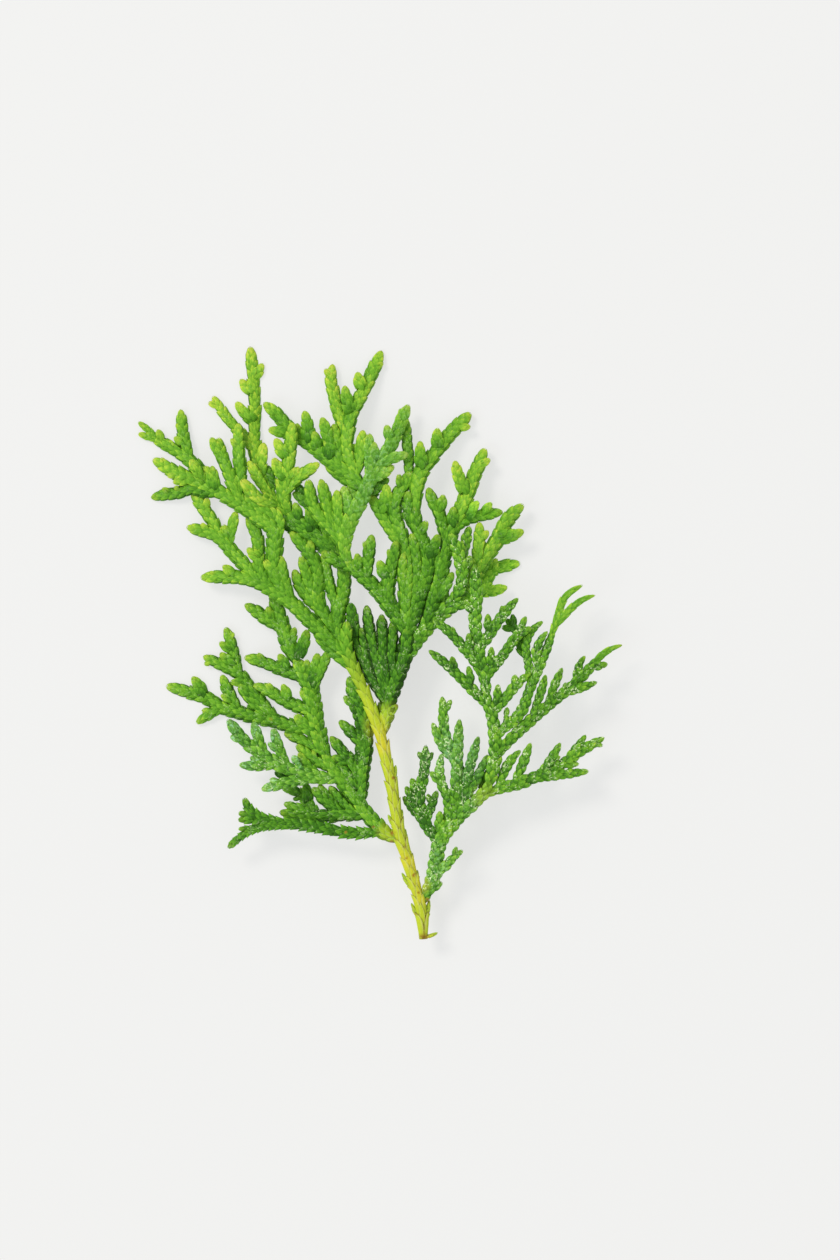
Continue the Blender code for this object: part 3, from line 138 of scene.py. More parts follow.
# The centre spray with its dark fingers, and what crosses the middle of the plant.
centreGrowth = (
    ("centre_spray", "fingers", -0.06,
     (1.35, (join, 9.3, 9.9, 10.1), ((0.9, -20), (1.4, -17), (1.8, -14.8), (2.4, -12), (4, -8), (5.4, -4),
      (6.2, 0), (6.3, 3.6)), ((4.2, -13.6),)),
     (1, (join, 8.6, 7, 5.8), ((1.6, -13), (-1, -8), (-3.2, -4), (-4.6, 0), (-5.4, 4.5), (-6.1, 8.5))),
     (0.95, (join, 8, 7.6), ((-1.6, -7), (-2.6, -2), (-3.7, 3.2))),
     (1, (join, 9.6, 9.2, 8.4), ((1.9, -12), (0, -5), (-1.2, 0), (-2, 4), (-2.5, 8.1))),
     (1, (join, 10, 9.2), ((2.6, -11), (1.2, -4), (1, 1), (0.8, 6.2))),
     (1, (join, 9.8, 8.6), ((3.7, -8.5), (3, -3), (3.2, 1), (3.3, 4.7)))),
    ("centre_crossing", "mid", -0.1,
     (1.2, (join, 10.1, 9.6, 9.3), ((6.2, 2), (4.6, 5.4), (2.8, 8), (0.5, 11), (-1.7, 13.3), (-4.5, 15.9),
      (-7, 18.4)), ((-4.6, 19.5),)),
     (1.05, (join, 9.7, 9.5), ((-2.4, 14), (-2, 19.3), (-1.3, 23.6)), ((-3, 22.2),)),
     (1.1, (join, 9.2, 9.1), ((-4.7, 16.1), (-9.3, 18.2), (-12.2, 19.9)))),
    ("centre_inner_fork", "mid", -0.08,
     (1.1, (join, 10.2, 10.1), ((3, 7.7), (2.2, 11.5), (2.8, 15.5), (3.5, 19), (4, 22.3)), ((0.2, 18),
      (2.3, 20.4)))),
    ("upper_centre_spray", "haze", 0.09,
     (1.2, (join, 9, 8.4, 7, 5.4, 4.2), ((-6.2, 17.6), (-7.2, 20), (-7.1, 22.5), (-6.3, 26), (-4.9, 29),
      (-3.5, 31.6), (-2.1, 35), (-0.8, 37.5), (0.6, 39.9), (2.5, 42.8), (4.2, 46.5), (5.4, 49.5),
      (6.7, 52.3)), ((4.9, 51.4), (1.9, 47.8), (-0.9, 44), (-7.5, 34.3, -1))),
     (1, (join, 7, 6.4), ((-1.8, 35.6), (0.7, 37.1), (3.4, 38.8))),
     (1, (join, 7, 6.6), ((-4.7, 29.6), (-5.4, 33), (-6.1, 35.8))),
     (1, (join, 7.2, 7), ((0.2, 39), (3.3, 40.6), (6.5, 41.4))),
     (1.05, (join, 7.4, 6.6), ((-1.8, 35.5), (-1.7, 40), (-1.9, 45.9)))),
    ("centre_left_fork", "fresh", -0.1,
     (1, (join, 9, 8.6), ((-7.1, 19.9), (-8.1, 24), (-8.7, 28.5), (-9, 33.4))),
     (1, (9.1, 8.4, 7.6), ((-7.6, 21), (-9.6, 25), (-10.8, 29), (-12.5, 35.8))),
     (1, (9.1, 8, 6.6), ((-7.9, 22), (-11, 26), (-13.2, 28.7), (-14.5, 31.4), (-15.3, 35.8)))),
    ("upper_left_fork", "fresh", -0.08,
     (1.1, (join, 7.4, 6, 4, 3, 2.8), ((-3, 32.8), (-4.6, 35.8), (-7.5, 38), (-11, 40.5), (-14, 43),
      (-17.5, 45.5), (-20.5, 48.3), (-22.5, 50.6), (-25.1, 52.8)), ((-24, 47), (-16.2, 50.9),
      (-17.9, 48.2), (-12.3, 49.4), (-14.1, 46.4))),
     (1, (join, 6.6, 5.6), ((-3.9, 33.9), (-6.2, 35.4), (-8.8, 37.3), (-11.6, 39.8))),
     (1.05, (join, 6.4, 5.6), ((-8.2, 38.5), (-9, 43), (-9.7, 48)), ((-11.7, 44.8),))),
    ("top_fork", "fresh", 0.04,
     (1.1, (join, 6.6, 5, 2.7, 0.6), ((-4.5, 35.6), (-6.2, 40), (-7, 43.5), (-6.6, 47), (-5.8, 50.5),
      (-4, 54), (-2.3, 57.5), (-0.7, 61), (0.7, 64.3)), ((1, 61.7), (-4.5, 59.5), (-7.3, 56.4))),
     (1.05, (join, 6.4), ((-4.8, 37), (-3.9, 41), (-3.3, 46.6)))),
    ("top_left_fork", "fresh", 0.18,
     (1, (join, 4.2, 2.6, 1.4), ((-6.8, 44.6), (-8, 49), (-9, 52), (-9.7, 55), (-10.4, 58), (-10, 61.3)),
      ((-11.6, 60.3),))),
)

# The two upright branches right of the middle.
columnGrowth = (
    ("centre_column", "mid", 0.02,
     (1.15, (join, 9.8, 9.2, 7.4, 5.6), ((6.3, 2.8), (6, 7), (6.2, 11), (6.4, 15), (6.1, 19), (5.3, 23),
      (4.3, 26), (3.6, 29), (4.1, 32), (5.8, 34.8), (7.2, 37.8)), ((4.6, 36.9),)),
     (0.88, (join, 4.2, 2.5), ((6.7, 36.6), (6.8, 40.5), (6.4, 44), (6.2, 49.3))),
     (0.95, (join, 10.2), ((6.1, 10), (5.4, 15), (5.6, 19.5)))),
    ("centre_column_fork", "fresh", 0.03,
     (1.1, (join, 7.4, 5.8), ((5.9, 20.2), (4.2, 23.3), (2.3, 26), (0.6, 28.8), (-1.7, 32.4)),
      ((1.9, 34.7),))),
    ("right_column", "mid", -0.09,
     (1.15, (join, 9.4, 8.6, 7.8), ((6.5, 1.4), (7.6, 5.6), (8.7, 10), (10.1, 14), (10.9, 17.3),
      (10.6, 20), (9.8, 22.5), (8.8, 25), (8.3, 27.5), (8.4, 30.2)), ((10.6, 26.7), (13.2, 23.7))),
     (1.05, (join, 7.4), ((8.6, 24.4), (7.2, 27.4), (6.7, 30), (6.6, 33.2))),
     (1.1, (join, 9.3, 8.8), ((8.1, 7.2), (8.1, 13), (8.3, 18), (7.4, 23.9)))),
    ("right_column_top", "fresh", 0,
     (1.1, (join, 7, 5.4, 3.6, 1.6), ((8.3, 28.4), (8.2, 31.5), (8.5, 34.3), (9.4, 37.3), (11.5, 40.4),
      (15, 45), (17.5, 47.8), (20.3, 50.6)), ((9.6, 34.9), (20.2, 47.7), (13.1, 47.1), (9.3, 44.2)))),
)

# The branches on the right that lie low.
rightSideGrowth = (
    ("right_low_branch", "raised", 0.06,
     (1.2, (join, 9, 8, 7.2), ((5.1, -5), (7.3, -1.5), (9.5, 1.8), (12.3, 4.8), (15.3, 7.9), (17.8, 10.5),
      (20, 13.4))),
     (1.1, (join, 8.6, 8.8), ((13.4, 5.5), (15.5, 7.2), (17.6, 8.3), (20.2, 8.2))),
     (1, (join, 7.6, 6.8), ((12.2, 5), (14.2, 9.5), (15, 12.5)))),
    ("right_lowest_branch", "lit", 0.02,
     (1.05, (join, 5.8, 3.4, 1.4, 0.6), ((17.8, 10.4), (20.6, 10.3), (22.7, 11.5), (23.7, 13.6),
      (24.9, 15.8), (27.5, 16.9), (31.2, 17.6)), ((26.1, 18.5),)),
     (0.95, (join, 2.6), ((21.8, 10.9), (25, 11.4), (28.3, 12.3)))),
    ("right_low_upper_fork", "raised", 0.12,
     (1.05, (join, 8.8, 9.7, 10), ((15.9, 8.4), (18, 12), (18.5, 15), (17.9, 18.5), (17.2, 21),
      (15.9, 23.9)), ((18.4, 22.2), (20.3, 19))),
     (0.95, (join, 6.8, 5.6), ((18.3, 16.5), (19, 21), (20.1, 25.6)))),
    ("right_branch", "mid", -0.05,
     (1.15, (join, 8.9, 8.2, 7.4), ((9, 1), (11.1, 6), (11.9, 9.5), (13.1, 13), (14.2, 17), (15.2, 21),
      (16.3, 24.5), (17.6, 27.7)), ((16.6, 29.8), (16.1, 20.2, -0.8))),
     (1, (join, 8), ((13, 9.5), (14.6, 12.2), (16.4, 15.4))),
     (0.95, (join, 8), ((13.4, 14.2), (13.1, 17.6), (12.4, 21))),
     (1, (join, 7.4, 6.4), ((15.1, 21), (14.6, 25), (13.3, 29), (11.8, 31.8), (11.1, 34)),
      ((14.3, 32.4),))),
    ("right_branch_top", "fresh", 0.05,
     (1.1, (join, 5.4, 2.6), ((17, 26.2), (18.2, 29), (19.3, 31.8), (21, 36.5), (22.3, 39.5),
      (23.5, 42.8)), ((24.5, 40.4), (16.9, 39.9)))),
    ("right_branch_side_twig", "lit", -0.04,
     (1, (join, 5.6, 3), ((16.4, 24.7), (18.6, 26.9), (21, 27.7), (25, 28.5), (27.3, 28.8)), ((22, 31),
      (24.9, 30.7)))),
    ("right_outer_branch", "fresh", 0.07,
     (1.15, (join, 6, 5.2, 4), ((19.2, 12.3), (21.6, 15.8), (24, 19.5), (26.2, 22.6), (28.1, 26.4),
      (29.8, 28.5), (31.9, 30.4)), ((31.9, 24.6),)),
     (1, (join, 6.4, 5.6), ((21.6, 15.8), (22, 20), (22.3, 23), (22.3, 26.4)), ((24.1, 24.6),))),
)

# Everything that grows from the lower left side of the stem.
lowerLeftGrowth = (
    ("lower_left_stem", "mid", 0.05,
     (1.2, (join, 7, 6, 5.3), ((5, -43), (3, -42.4), (1.4, -41.6), (0, -40.3), (-1.5, -38.6),
      (-3.5, -36.2), (-5, -34), (-7, -31.3), (-10, -27.3), (-12, -23.7))),
     (0.9, (join, 5.4), ((-12.8, -28.9), (-15.6, -26.9), (-17.3, -24.2))),
     (0.95, (join, 4.6), ((-9.6, -27.9), (-13.6, -25.8), (-17.9, -22.5)), ((-14.2, -23.8),))),
    ("lower_left_middle", "mid", 0.06,
     (1.4, (join, 4.8, 4.3), ((-11.2, -25.2), (-12.4, -22.6), (-13.3, -20), (-14.1, -16), (-14.6, -12),
      (-15.2, -9), (-16.8, -6), (-18.3, -3.3)), ((-13.3, -2.4), (-18.2, -15.8), (-15.6, -3.8),
      (-17, -10.6))),
     (0.95, (join, 4.1, 3.4), ((-11.9, -24), (-14.5, -22.6), (-17.5, -21), (-20.5, -20))),
     (1, (join, 3.8, 3.2), ((-14.1, -15.5), (-17.5, -14), (-20.5, -12.7), (-24, -10.5), (-27.3, -9.3)),
      ((-24.3, -8.9), (-21, -9.2))),
     (0.9, (join, 5.2, 5.6), ((-14.3, -10.5), (-12, -4.6), (-10.7, -1.6)))),
    ("lower_left_side_twig", "mid", -0.09,
     (1, (join, 3.9, 3.3), ((-15, -8.6), (-18.5, -6.8), (-22, -5.5), (-26, -4), (-29.3, -3.2)),
      ((-26.4, -2.4), (-21.8, -2.6)))),
    ("lower_left_upper", "mid", -0.02,
     (1.15, (join, 3.8, 3.3), ((-17.8, -4.4), (-19.7, -0.4), (-20.9, 3.5), (-21.8, 6.5), (-22.6, 9),
      (-23.2, 11.3)), ((-18.3, 3.3), (-15.6, 2.8))),
     (1.05, (join, 3.7, 3.2), ((-20, 2.4), (-24, 5), (-26.5, 6.8), (-29.2, 8.4)), ((-24.3, 7.9),))),
    ("left_tip_spray", "mid", 0.03,
     (1.1, (join, 3.4, 2, 0.9, 0.6), ((-13.6, -18.6), (-17, -18.7), (-20, -18.1), (-23, -17), (-27, -16.2),
      (-31, -15.2), (-34.5, -14.1), (-38, -12.1), (-42, -10.8), (-46.6, -9.5)), ((-40.9, -7.6),)),
     (1, (join, 1.2, 0.9), ((-33.8, -14.1), (-37, -15.6), (-39.9, -17.6)), ((-38.7, -14.9),)),
     (1, (join, 1.9), ((-30.6, -15), (-33, -10.6), (-34.4, -7.2)), ((-34.5, -11.5),))),
    ("left_tip_upper_fork", "mid", 0,
     (1, (join, 2.8, 2, 1), ((-22.3, -16.9), (-24.5, -14.5), (-26.5, -12), (-28.5, -9.5), (-30.5, -7),
      (-33.5, -5.3), (-38.4, -3)), ((-38.2, -4.6), (-32.4, -8.6))),
     (1, (join, 2.4), ((-24.2, -15.8), (-26.8, -13.7), (-29, -11.2), (-30.6, -8.6))),
     (0.95, (join, 1.8, 1.4), ((-30.4, -7.1), (-31.6, -3.5), (-32.4, 0), (-33.6, 3.3)), ((-32, 2.2),
      (-34.8, 0.1), (-34.7, -2.3)))),
    ("low_blue_spray", "blue", 0.06,
     (1.1, (join, 6.3, 6.2, 5.4, 4.6), ((-8.3, -29.6), (-10.5, -29.7), (-13.5, -29.4), (-17, -28.5),
      (-20, -27.5), (-23, -26), (-26, -24), (-28.5, -22.3), (-31, -19.5), (-33, -16.9)), ((-32.3, -20.6),
      (-18.7, -24.9))),
     (1, (join, 6, 5.6), ((-24.8, -24.8), (-26.4, -20.5), (-27.4, -17.5))),
     (1, (join, 6.4, 6), ((-19.7, -27.6), (-22, -22.3), (-23, -18.8)), ((-24, -22),)),
     (1, (join, 6, 5.6), ((-22, -26.5), (-26.5, -27), (-30.3, -26.8)), ((-27.9, -25.1),)),
     (1, (join, 6.4, 6), ((-12.6, -29.5), (-19, -30.4), (-22.5, -31.2), (-25.4, -32.2)), ((-23.6, -30),))),
    ("low_inner_column", "deep", 0.06,
     (0.95, (join, 5.2), ((-4.6, -32.4), (-6.8, -29), (-8.7, -26.2))),
     (1.35, (join, 5.6, 5.7, 6), ((-4.2, -35.2), (-3.8, -32), (-3.8, -28), (-3.1, -24), (-2.9, -20),
      (-3.4, -16.5), (-4.5, -13.5), (-5.5, -10), (-6.3, -7.4)), ((-7.4, -11.8),)),
     (1, (join, 5.6), ((-3.6, -26.5), (-3.5, -22.5), (-6.3, -19.2), (-8.4, -17.2))),
     (1, (join, 5.4), ((-3.8, -30.5), (-5.8, -26.4), (-8.3, -23.2), (-10.4, -20.7)), ((-10, -25),))),
    ("low_short_spray", "deep", 0.06,
     (1.05, (join, 6, 5.2), ((-2.4, -37.6), (-5, -37.6), (-8, -37.7), (-12, -38), (-16, -38.1),
      (-21.5, -37.2))),
     (0.95, (join, 5.4), ((-14, -38), (-17.5, -36.4), (-20.5, -35.3))),
     (1, (join, 6.2), ((-7.4, -37.6), (-11, -35), (-14.3, -31.9))),
     (0.9, (join, 5.4), ((-8.4, -36.8), (-11.3, -33.7), (-12.9, -31.2))),
     (0.95, (join, 5.2), ((-4.8, -37.5), (-8.2, -34.6), (-10.6, -31.6)))),
    ("low_under_twig", "dark", 0.16,
     (0.95, (join, 3, 1.2, 0.6), ((-13, -37.8), (-15.2, -35.4), (-17, -33.4), (-19, -32.4),
      (-21.1, -31.9)), ((-16, -30.9), (-18.6, -34.4)))),
    ("lowest_spray", "low", -0.06,
     (0.92, (join, 7.9, 8, 8, 7.6, 7.2), ((1.2, -41.5), (-1.5, -41.6), (-4.5, -41.7), (-8, -41.4),
      (-12, -40.6), (-16, -40), (-20, -39.6), (-23, -39.1), (-26.2, -38), (-28.3, -36.3), (-29.3, -34.1)),
      ((-30.4, -37.3),)),
     (0.7, (join, 7.6, 6.4), ((-18, -40.1), (-24.5, -40.2), (-28, -41.2), (-30.5, -42.8), (-32.8, -44.9))),
     (0.55, (join, 7.5), ((-24.4, -40.3), (-27, -40.6), (-30.4, -40.8))),
     (0.85, (join, 7.4), ((-23.5, -39.1), (-27.5, -38.7), (-30.5, -38.8)))),
)

# The fine, dark spray that rises from the right of the stem and lies over the rest.
raisedSprayGrowth = (
    ("raised_spray_lower", "raised", 0.11,
     (1.25, (join, 8.4, 10.4, 12.3), ((9.3, -57.3), (11.2, -53.8), (12.3, -51), (12.8, -48), (13.2, -45),
      (14.5, -42), (16.5, -39.5), (18.7, -37), (21, -35), (23.5, -32.4), (24.7, -29.6)), ((14, -52.6),
      (10.9, -51.6), (13.6, -37))),
     (0.85, (join, 9, 9.2), ((12.4, -50.6), (14.5, -49.2), (16.3, -47.3), (18.5, -45.5)),
      ((17.2, -44.8),))),
    ("raised_spray_middle", "raised", 0.09,
     (1.15, (join, 13.2, 12.8), ((24.3, -31.2), (25.1, -28), (25.6, -25), (25.7, -22), (25.5, -19),
      (25, -16), (24.1, -13), (23.6, -10)))),
    ("raised_spray_upper", "raised", -0.02,
     (1.1, (join, 11.9, 10.8, 9.8), ((23.8, -11.6), (23.5, -8.5), (22.9, -6), (22.1, -3), (21.6, 0),
      (21.4, 3), (21.3, 6), (21.6, 9.5), (21.4, 13), (21.2, 17.2)), ((19.2, 9.4),))),
    ("raised_left_fork", "raised", -0.1,
     (0.9, (join, 12.6, 11.2), ((24.3, -14), (22, -11.5), (19.5, -9), (17, -6.5), (14, -3.8),
      (11.3, -1.7)), ((16.2, -3.1), (19.8, -5.2)))),
    ("raised_spray_upper", "raised", -0.02,
     (0.9, (join, 12.2, 11.2), ((23, -6.8), (21.8, -5), (20, -2.4), (17.5, 0.5), (15, 3), (12.2, 5)),
      ((16.3, 3.4), (19.8, 2)))),
    ("raised_right_fork", "raised", -0.07,
     (0.95, (join, 11.4, 10.4), ((21.9, -2.4), (23, 0), (24.6, 2.1), (26.5, 5), (28.3, 7.3), (30.6, 9.7)),
      ((27.2, 8), (24.1, 6.2)))),
    ("raised_right_lower_fork", "raised", 0.03,
     (0.9, (join, 12, 10.6), ((23.4, -8.2), (25.5, -5), (27.5, -2.5), (29.5, 0.4), (31.1, 2.4),
      (31.7, 4.2), (32.4, 5.7)), ((24.9, -1), (33.4, 3.4)))),
    ("raised_spray_middle", "raised", 0.09,
     (0.9, (join, 12.6, 12), ((25, -15.6), (27.5, -12.6), (29.5, -10), (31.5, -8), (33.4, -6.6)),
      ((26.3, -9.2), (30.1, -7)))),
    ("raised_outer_upper", "raised", 0.02,
     (0.92, (join, 12.8, 12, 11.2, 10.6), ((25.6, -21), (27.3, -18.9), (29.9, -16.7), (31.8, -14.2),
      (32.9, -11), (34.3, -7.5), (35.6, -4.5), (36.9, -1.5), (38.4, 2.8)), ((28.3, -14.2),))),
    ("raised_outer_upper", "slim", 0,
     (0.66, (join, 10.5, 10.8), ((37.9, 1.4), (39.3, 5.5), (39.9, 7.6), (40.4, 9.1), (41.3, 10.4),
      (42.8, 11.6), (44.7, 12.6))),
     (0.62, (join, 10.6, 10.9), ((38.6, 3.4), (40.2, 5.3), (42.1, 7.4), (43.9, 8.9), (45.5, 9.8),
      (47.4, 10.4)))),
    ("raised_outer_upper", "raised", 0.02,
     (0.85, (join, 11.4), ((34.9, -5.2), (34.7, -1.8), (35.6, 0.6), (37, 2.4))),
     (0.75, (join, 10.4, 9.8), ((33.5, -9.5), (33.1, -5.5), (32.7, -3), (32.4, -0.8), (33.1, 1.6),
      (34.5, 3.5), (36, 4.6)))),
    ("raised_outer_middle", "raised", 0,
     (0.98, (join, 12.4, 11, 9.6, 8.6), ((25.6, -25.2), (28.3, -21.8), (31, -19.1), (34, -16.4),
      (37, -13.9), (40, -11.5), (43, -9), (45.3, -6.8), (47.4, -4.4), (48.8, -3)), ((50.2, -4.6),
      (41.2, -8.8))),
     (0.85, (join, 9), ((43.2, -8.4), (43.9, -5.7), (44.5, -4.2), (45.3, -3)))),
    ("raised_outer_middle", "slim", 0,
     (0.66, (join, 8.3), ((47.2, -4.6), (48.7, -3), (50.2, -1.8), (51.8, -1), (53.4, -0.5)))),
    ("raised_outer_middle", "raised", 0,
     (0.85, (join, 11.4), ((33.6, -16.6), (35.6, -11), (36.7, -7.1))),
     (0.85, (join, 10.8), ((37, -13.7), (38.8, -9), (40.3, -5.6))),
     (0.85, (join, 9.8), ((39.5, -11.4), (44.2, -9.9), (47.9, -8.6)))),
    ("raised_outer_lower", "raised", 0.06,
     (1, (join, 11.4, 10, 8.9, 8.2), ((23, -33.2), (27, -31.7), (31, -30.7), (34.7, -29.2), (38, -27.8),
      (41, -26.2), (44, -24), (46.5, -22.5), (49.5, -20.8)), ((49.2, -22.4), (43.9, -26.5))),
     (0.9, (join, 8.4), ((41.4, -26), (43, -23.8), (44.3, -22), (45.5, -20.3))),
     (0.9, (join, 11.6), ((26.3, -31.8), (27.7, -28), (29.3, -25.4), (31.1, -23.6))),
     (0.95, (join, 11.2), ((30, -30.8), (31.7, -26.5), (33.4, -22))),
     (0.9, (join, 10.2), ((35.4, -28.9), (38.2, -25), (39.9, -22)), ((39.8, -24.9),)),
     (0.85, (join, 9.2), ((32.5, -30.3), (36, -29.3), (39.5, -28.9), (42.8, -28.5), (46.1, -28.1)))),
    ("raised_inner_long", "raised", 0.04,
     (1, (join, 11.3, 10.6, 9.2), ((17.9, -38), (17.2, -34), (17.2, -30), (17.4, -26), (17.6, -22),
      (17.7, -19.5), (17.9, -16.8))),
     (0.95, (join, 10, 9.4), ((17.2, -27.2), (16.2, -24.2), (15.2, -21.5), (14.5, -18.5), (14.3, -15),
      (14.1, -11.9)), ((16, -12.6),)),
     (0.9, (join, 10), ((16.4, -25.6), (14.6, -23.2), (13.1, -20.2), (12, -17.6)))),
    ("raised_inner_short", "raised", -0.14,
     (0.9, (join, 11.9, 11.4), ((18.9, -36.8), (19, -32.5), (19.7, -29), (20.7, -25), (22, -20.6))),
     (0.85, (join, 12, 11.5), ((19.1, -34.2), (21.2, -30.5), (22.7, -27.3), (24, -24.6)))),
    ("raised_inner_middle", "raised", 0.04,
     (0.9, (join, 10.4, 9.4), ((16, -40), (15.7, -36.5), (15.2, -33.5), (14, -31), (13.5, -28),
      (14, -24.4)), ((11.6, -28.3),))),
    ("raised_inner_left", "raised", -0.24,
     (1, (join, 9.2, 8.6, 8.4), ((13.4, -44.6), (12.5, -42.6), (10.8, -40.2), (9.3, -37), (9.2, -33),
      (9.8, -30), (10.3, -27), (10.5, -22.5)), ((5.6, -33.8, -2.4), (6.2, -31.6, -0.6), (7.4, -29.8),
      (12, -24.1), (8.9, -24))),
     (0.9, (join, 9.4), ((10.4, -39.6), (12, -35), (13, -32.4)), ((11, -33.2),))),
)

# Dark twigs that lie underneath in the crotches, their darkness painted shade.
hiddenGrowth = (
    ("leader_upper", "shade", 0, (0.9, (3.6, 3), ((-22.4, 33.8), (-23.6, 36.4), (-24.4, 39)))),
    ("leader_upper", "dark", 0, (0.8, (4.4, 3.6), ((-29.4, 32.6), (-30.6, 35.6)))),
    ("centre_left_fork", "shade", 0, (1.15, (6.4, 5.4, 4.6), ((-13.8, 28.6), (-16, 31.2), (-18.6, 33)))),
    ("centre_left_fork", "dark", 0, (1, (5.2, 4.2), ((-15.4, 31.4), (-16.7, 33.2), (-18.3, 34.9)))),
    ("upper_centre_spray", "shade", 0, (1.15, (6.6, 5.8), ((-2.6, 32.9), (-0.6, 34.2), (2.3, 36)))),
    ("upper_centre_spray", "dark", 0, (0.95, (5.8, 5), ((-2.6, 31.9), (-0.8, 33), (0.6, 34.6)))),
    ("centre_spray", "dark", 0, (1, (7.6, 6.4), ((-4.9, 1.4), (-5.5, 5), (-6, 8.7)))),
    ("leader_middle", "shade", 0, (1, (3.8, 3.6), ((-17, 23.6), (-20, 25.8), (-22.4, 28.6)))),
    ("low_blue_spray", "dark", 0, (1, (4.6, 3.8), ((-16.6, -30.6), (-19.4, -29.7), (-22.6, -28.5)))),
    ("raised_right_lower_fork", "dark", 0,
     (0.95, (9.2, 8.4), ((30.7, 1.8), (29.6, 3.6), (28.1, 5.2)), ((27.3, 3.5), (29.5, 6.2)))),
    ("raised_outer_upper", "dark", 0,
     (0.95, (9.6, 9), ((32.6, -3.2), (31.3, -0.9), (31.6, 0.8), (32.4, 2.3)))),
    ("raised_inner_short", "dark", 0, (0.8, (8.6, 8), ((22.4, -32), (23.4, -29.8), (24.2, -27.6)))),
    ("raised_inner_long", "dark", 0, (0.8, (9, 8.4), ((18.8, -32.4), (18.6, -29), (18, -26.4)))),
    ("raised_spray_lower", "shade", 0, (0.85, (9, 8.6), ((15.3, -40.6), (15, -38.4), (15.1, -36.4)))),
)

allGrowth = (stemGrowth + leftArmGrowth + longLeftGrowth + leaderGrowth + centreGrowth + columnGrowth
             + rightSideGrowth + lowerLeftGrowth + raisedSprayGrowth + hiddenGrowth)

growthRules = {
    "twigHalfWidth": 1.38,      # millimetres
    "fineHalfWidth": 1.3,       # the same on the raised spray
    "stemTwigHalfWidth": 0.66,  # and of the long leaves that stand off the stem
    "twigLeaf": 0.93,           # half width that the leaves of a twig are sized by
    "fineLeaf": 0.8,
    "stemTwigLeaf": 0.5,
    "widestLeaf": 1.0,          # the most that those of an axis are sized by
    "footWidth": 1.4,           # where a side twig grows out of its branch, against its own width
    "stemFootWidth": 0.85,      # the same at the cut end of the stem
    "axisGain": 1.25,           # half width of a leafy axis against that of its solid
    "fineAxisGain": 1.24,
    "stemGain": 1.07,
    "footGain": 0.3,            # how much wider still a long axis is a little above its foot
    "gainRate": 4,              # one over the share of its length at which it is widest
    "longAxis": 18.0,           # length from which the whole of that gain is used
    "footNeck": 0.25,           # how much narrower an axis starts, before it widens
    "neckRate": 6,              # one over the share of its length that this takes
    "twigLean": 1.15,           # how far back a twig's foot sits, per distance out to its tip
    "stemLeafLean": 2.6,        # the same for the long leaves of the stem
    "twigBend": 0.1,            # how far a twig bows out, against its length
    "firstFoot": 0.2,           # the nearest to the foot of its axis that a twig starts
    "longTwig": 7.0,            # length from which a twig has the whole of that wider foot
    "shortTwig": 0.22,          # a short twig is no wider than this share of its length
    "leastTwig": 0.4,           # and this much more
    "denseLength": 8.0,         # a longer axis of the kinds in topWidth has a second, lower layer of leaves
    "topWidth": {"fresh": 0.9, "lit": 0.9, "mid": 0.86, "deep": 0.84, "fingers": 0.74},
    "underDrop": 0.6,           # how much lower that layer lies
    "underShade": 0.18,         # painted shade: how much darker it is, in youth
    "underWidth": 1.09,         # how much wider
    # painted shade on that layer, or above 1 painted light
    "underLight": {"fresh": 0.9, "lit": 1.2, "mid": 0.85, "deep": 0.75, "fingers": 0.45},
    "tipReach": 0.25,           # how far the leaves at a tip reach past the end of its line
    "stemTop": 15,              # the point of the stem where long yellow leaves give way to green ones
    "yellowTop": -15,           # height up the drawing where the stem starts to turn from yellow to green
    "yellowFade": 12,           # and over how much it does
    "leafFade": 0.9,            # how green the long leaves of the stem are at their tips
    "crotchTwig": 6,            # length from which a twig's foot is fully shaded
    "rollTurn": 12,             # degrees that an axis is turned about itself at most
    "rollStep": 2.4,            # what sets one axis's turn apart from the next one's
    "fullness": 0.8,            # how thick the leaves lie over a twig, against their own form
    "stemFullness": 1.8,        # the same on the stem, which is nearly round
}

# How long the leaves of each kind of line are, against their usual length, and over how many half
# widths its tip narrows.
lineShapes = {
    "stem": {"stretch": 2.4, "tipRun": 3.0},
    "stemTop": {"stretch": 1.15, "tipRun": 2.6},
    "stemTwig": {"stretch": 2.0, "tipRun": 6.0},
    "axis": {"stretch": 1.1, "tipRun": 2.6},
    "fineAxis": {"stretch": 1.1, "tipRun": 4.0},
    "slim": {"stretch": 1.7, "tipRun": 7.0},
    "twig": {"stretch": 1.0, "tipRun": 2.5},
    "fineTwig": {"stretch": 1.0, "tipRun": 3.0},
}


def lengthsAlong(points):
    total = 0
    found = [0]
    for start, end in zip(points, points[1:]):
        total += (end - start).length
        found.append(total)
    return found


def heightAt(heights, share):
    place = min(max(share, 0), 1) * (len(heights) - 1)
    low = min(int(place), len(heights) - 2)
    return heights[low] + (heights[low + 1] - heights[low]) * (place - low)


def nearestOn(points, spot):
    # distance seen from above, length along the line, the place
    flatSpot = spot.to_2d()
    lengths = lengthsAlong(points)
    best = None
    for index, (start, end) in enumerate(zip(points, points[1:])):
        run = end.to_2d() - start.to_2d()
        share = min(max((flatSpot - start.to_2d()).dot(run) / run.length_squared, 0), 1)
        distance = (start.to_2d() + run * share - flatSpot).length
        if best is None or distance < best[0]:
            best = (distance, lengths[index] + (end - start).length * share, start.lerp(end, share))
    return best


def pointAt(points, along):
    lengths = lengthsAlong(points)
    for index in range(len(points) - 1):
        if along <= lengths[index + 1]:
            share = (along - lengths[index]) / (lengths[index + 1] - lengths[index])
            return points[index].lerp(points[index + 1], share)
    return points[-1].copy()


def axisLine(heights, path, grown):
    flat = [Vector((x, y, 0)) for x, y in path]
    lengths = lengthsAlong(flat)
    heights = list(heights)
    if heights[0] is join:
        nearest = min((nearestOn(line, flat[0]) for line in grown), key=lambda found: found[0])
        heights[0] = nearest[2].z
    return [Vector((spot.x, spot.y, heightAt(heights, along / lengths[-1])))
            for spot, along in zip(flat, lengths)]


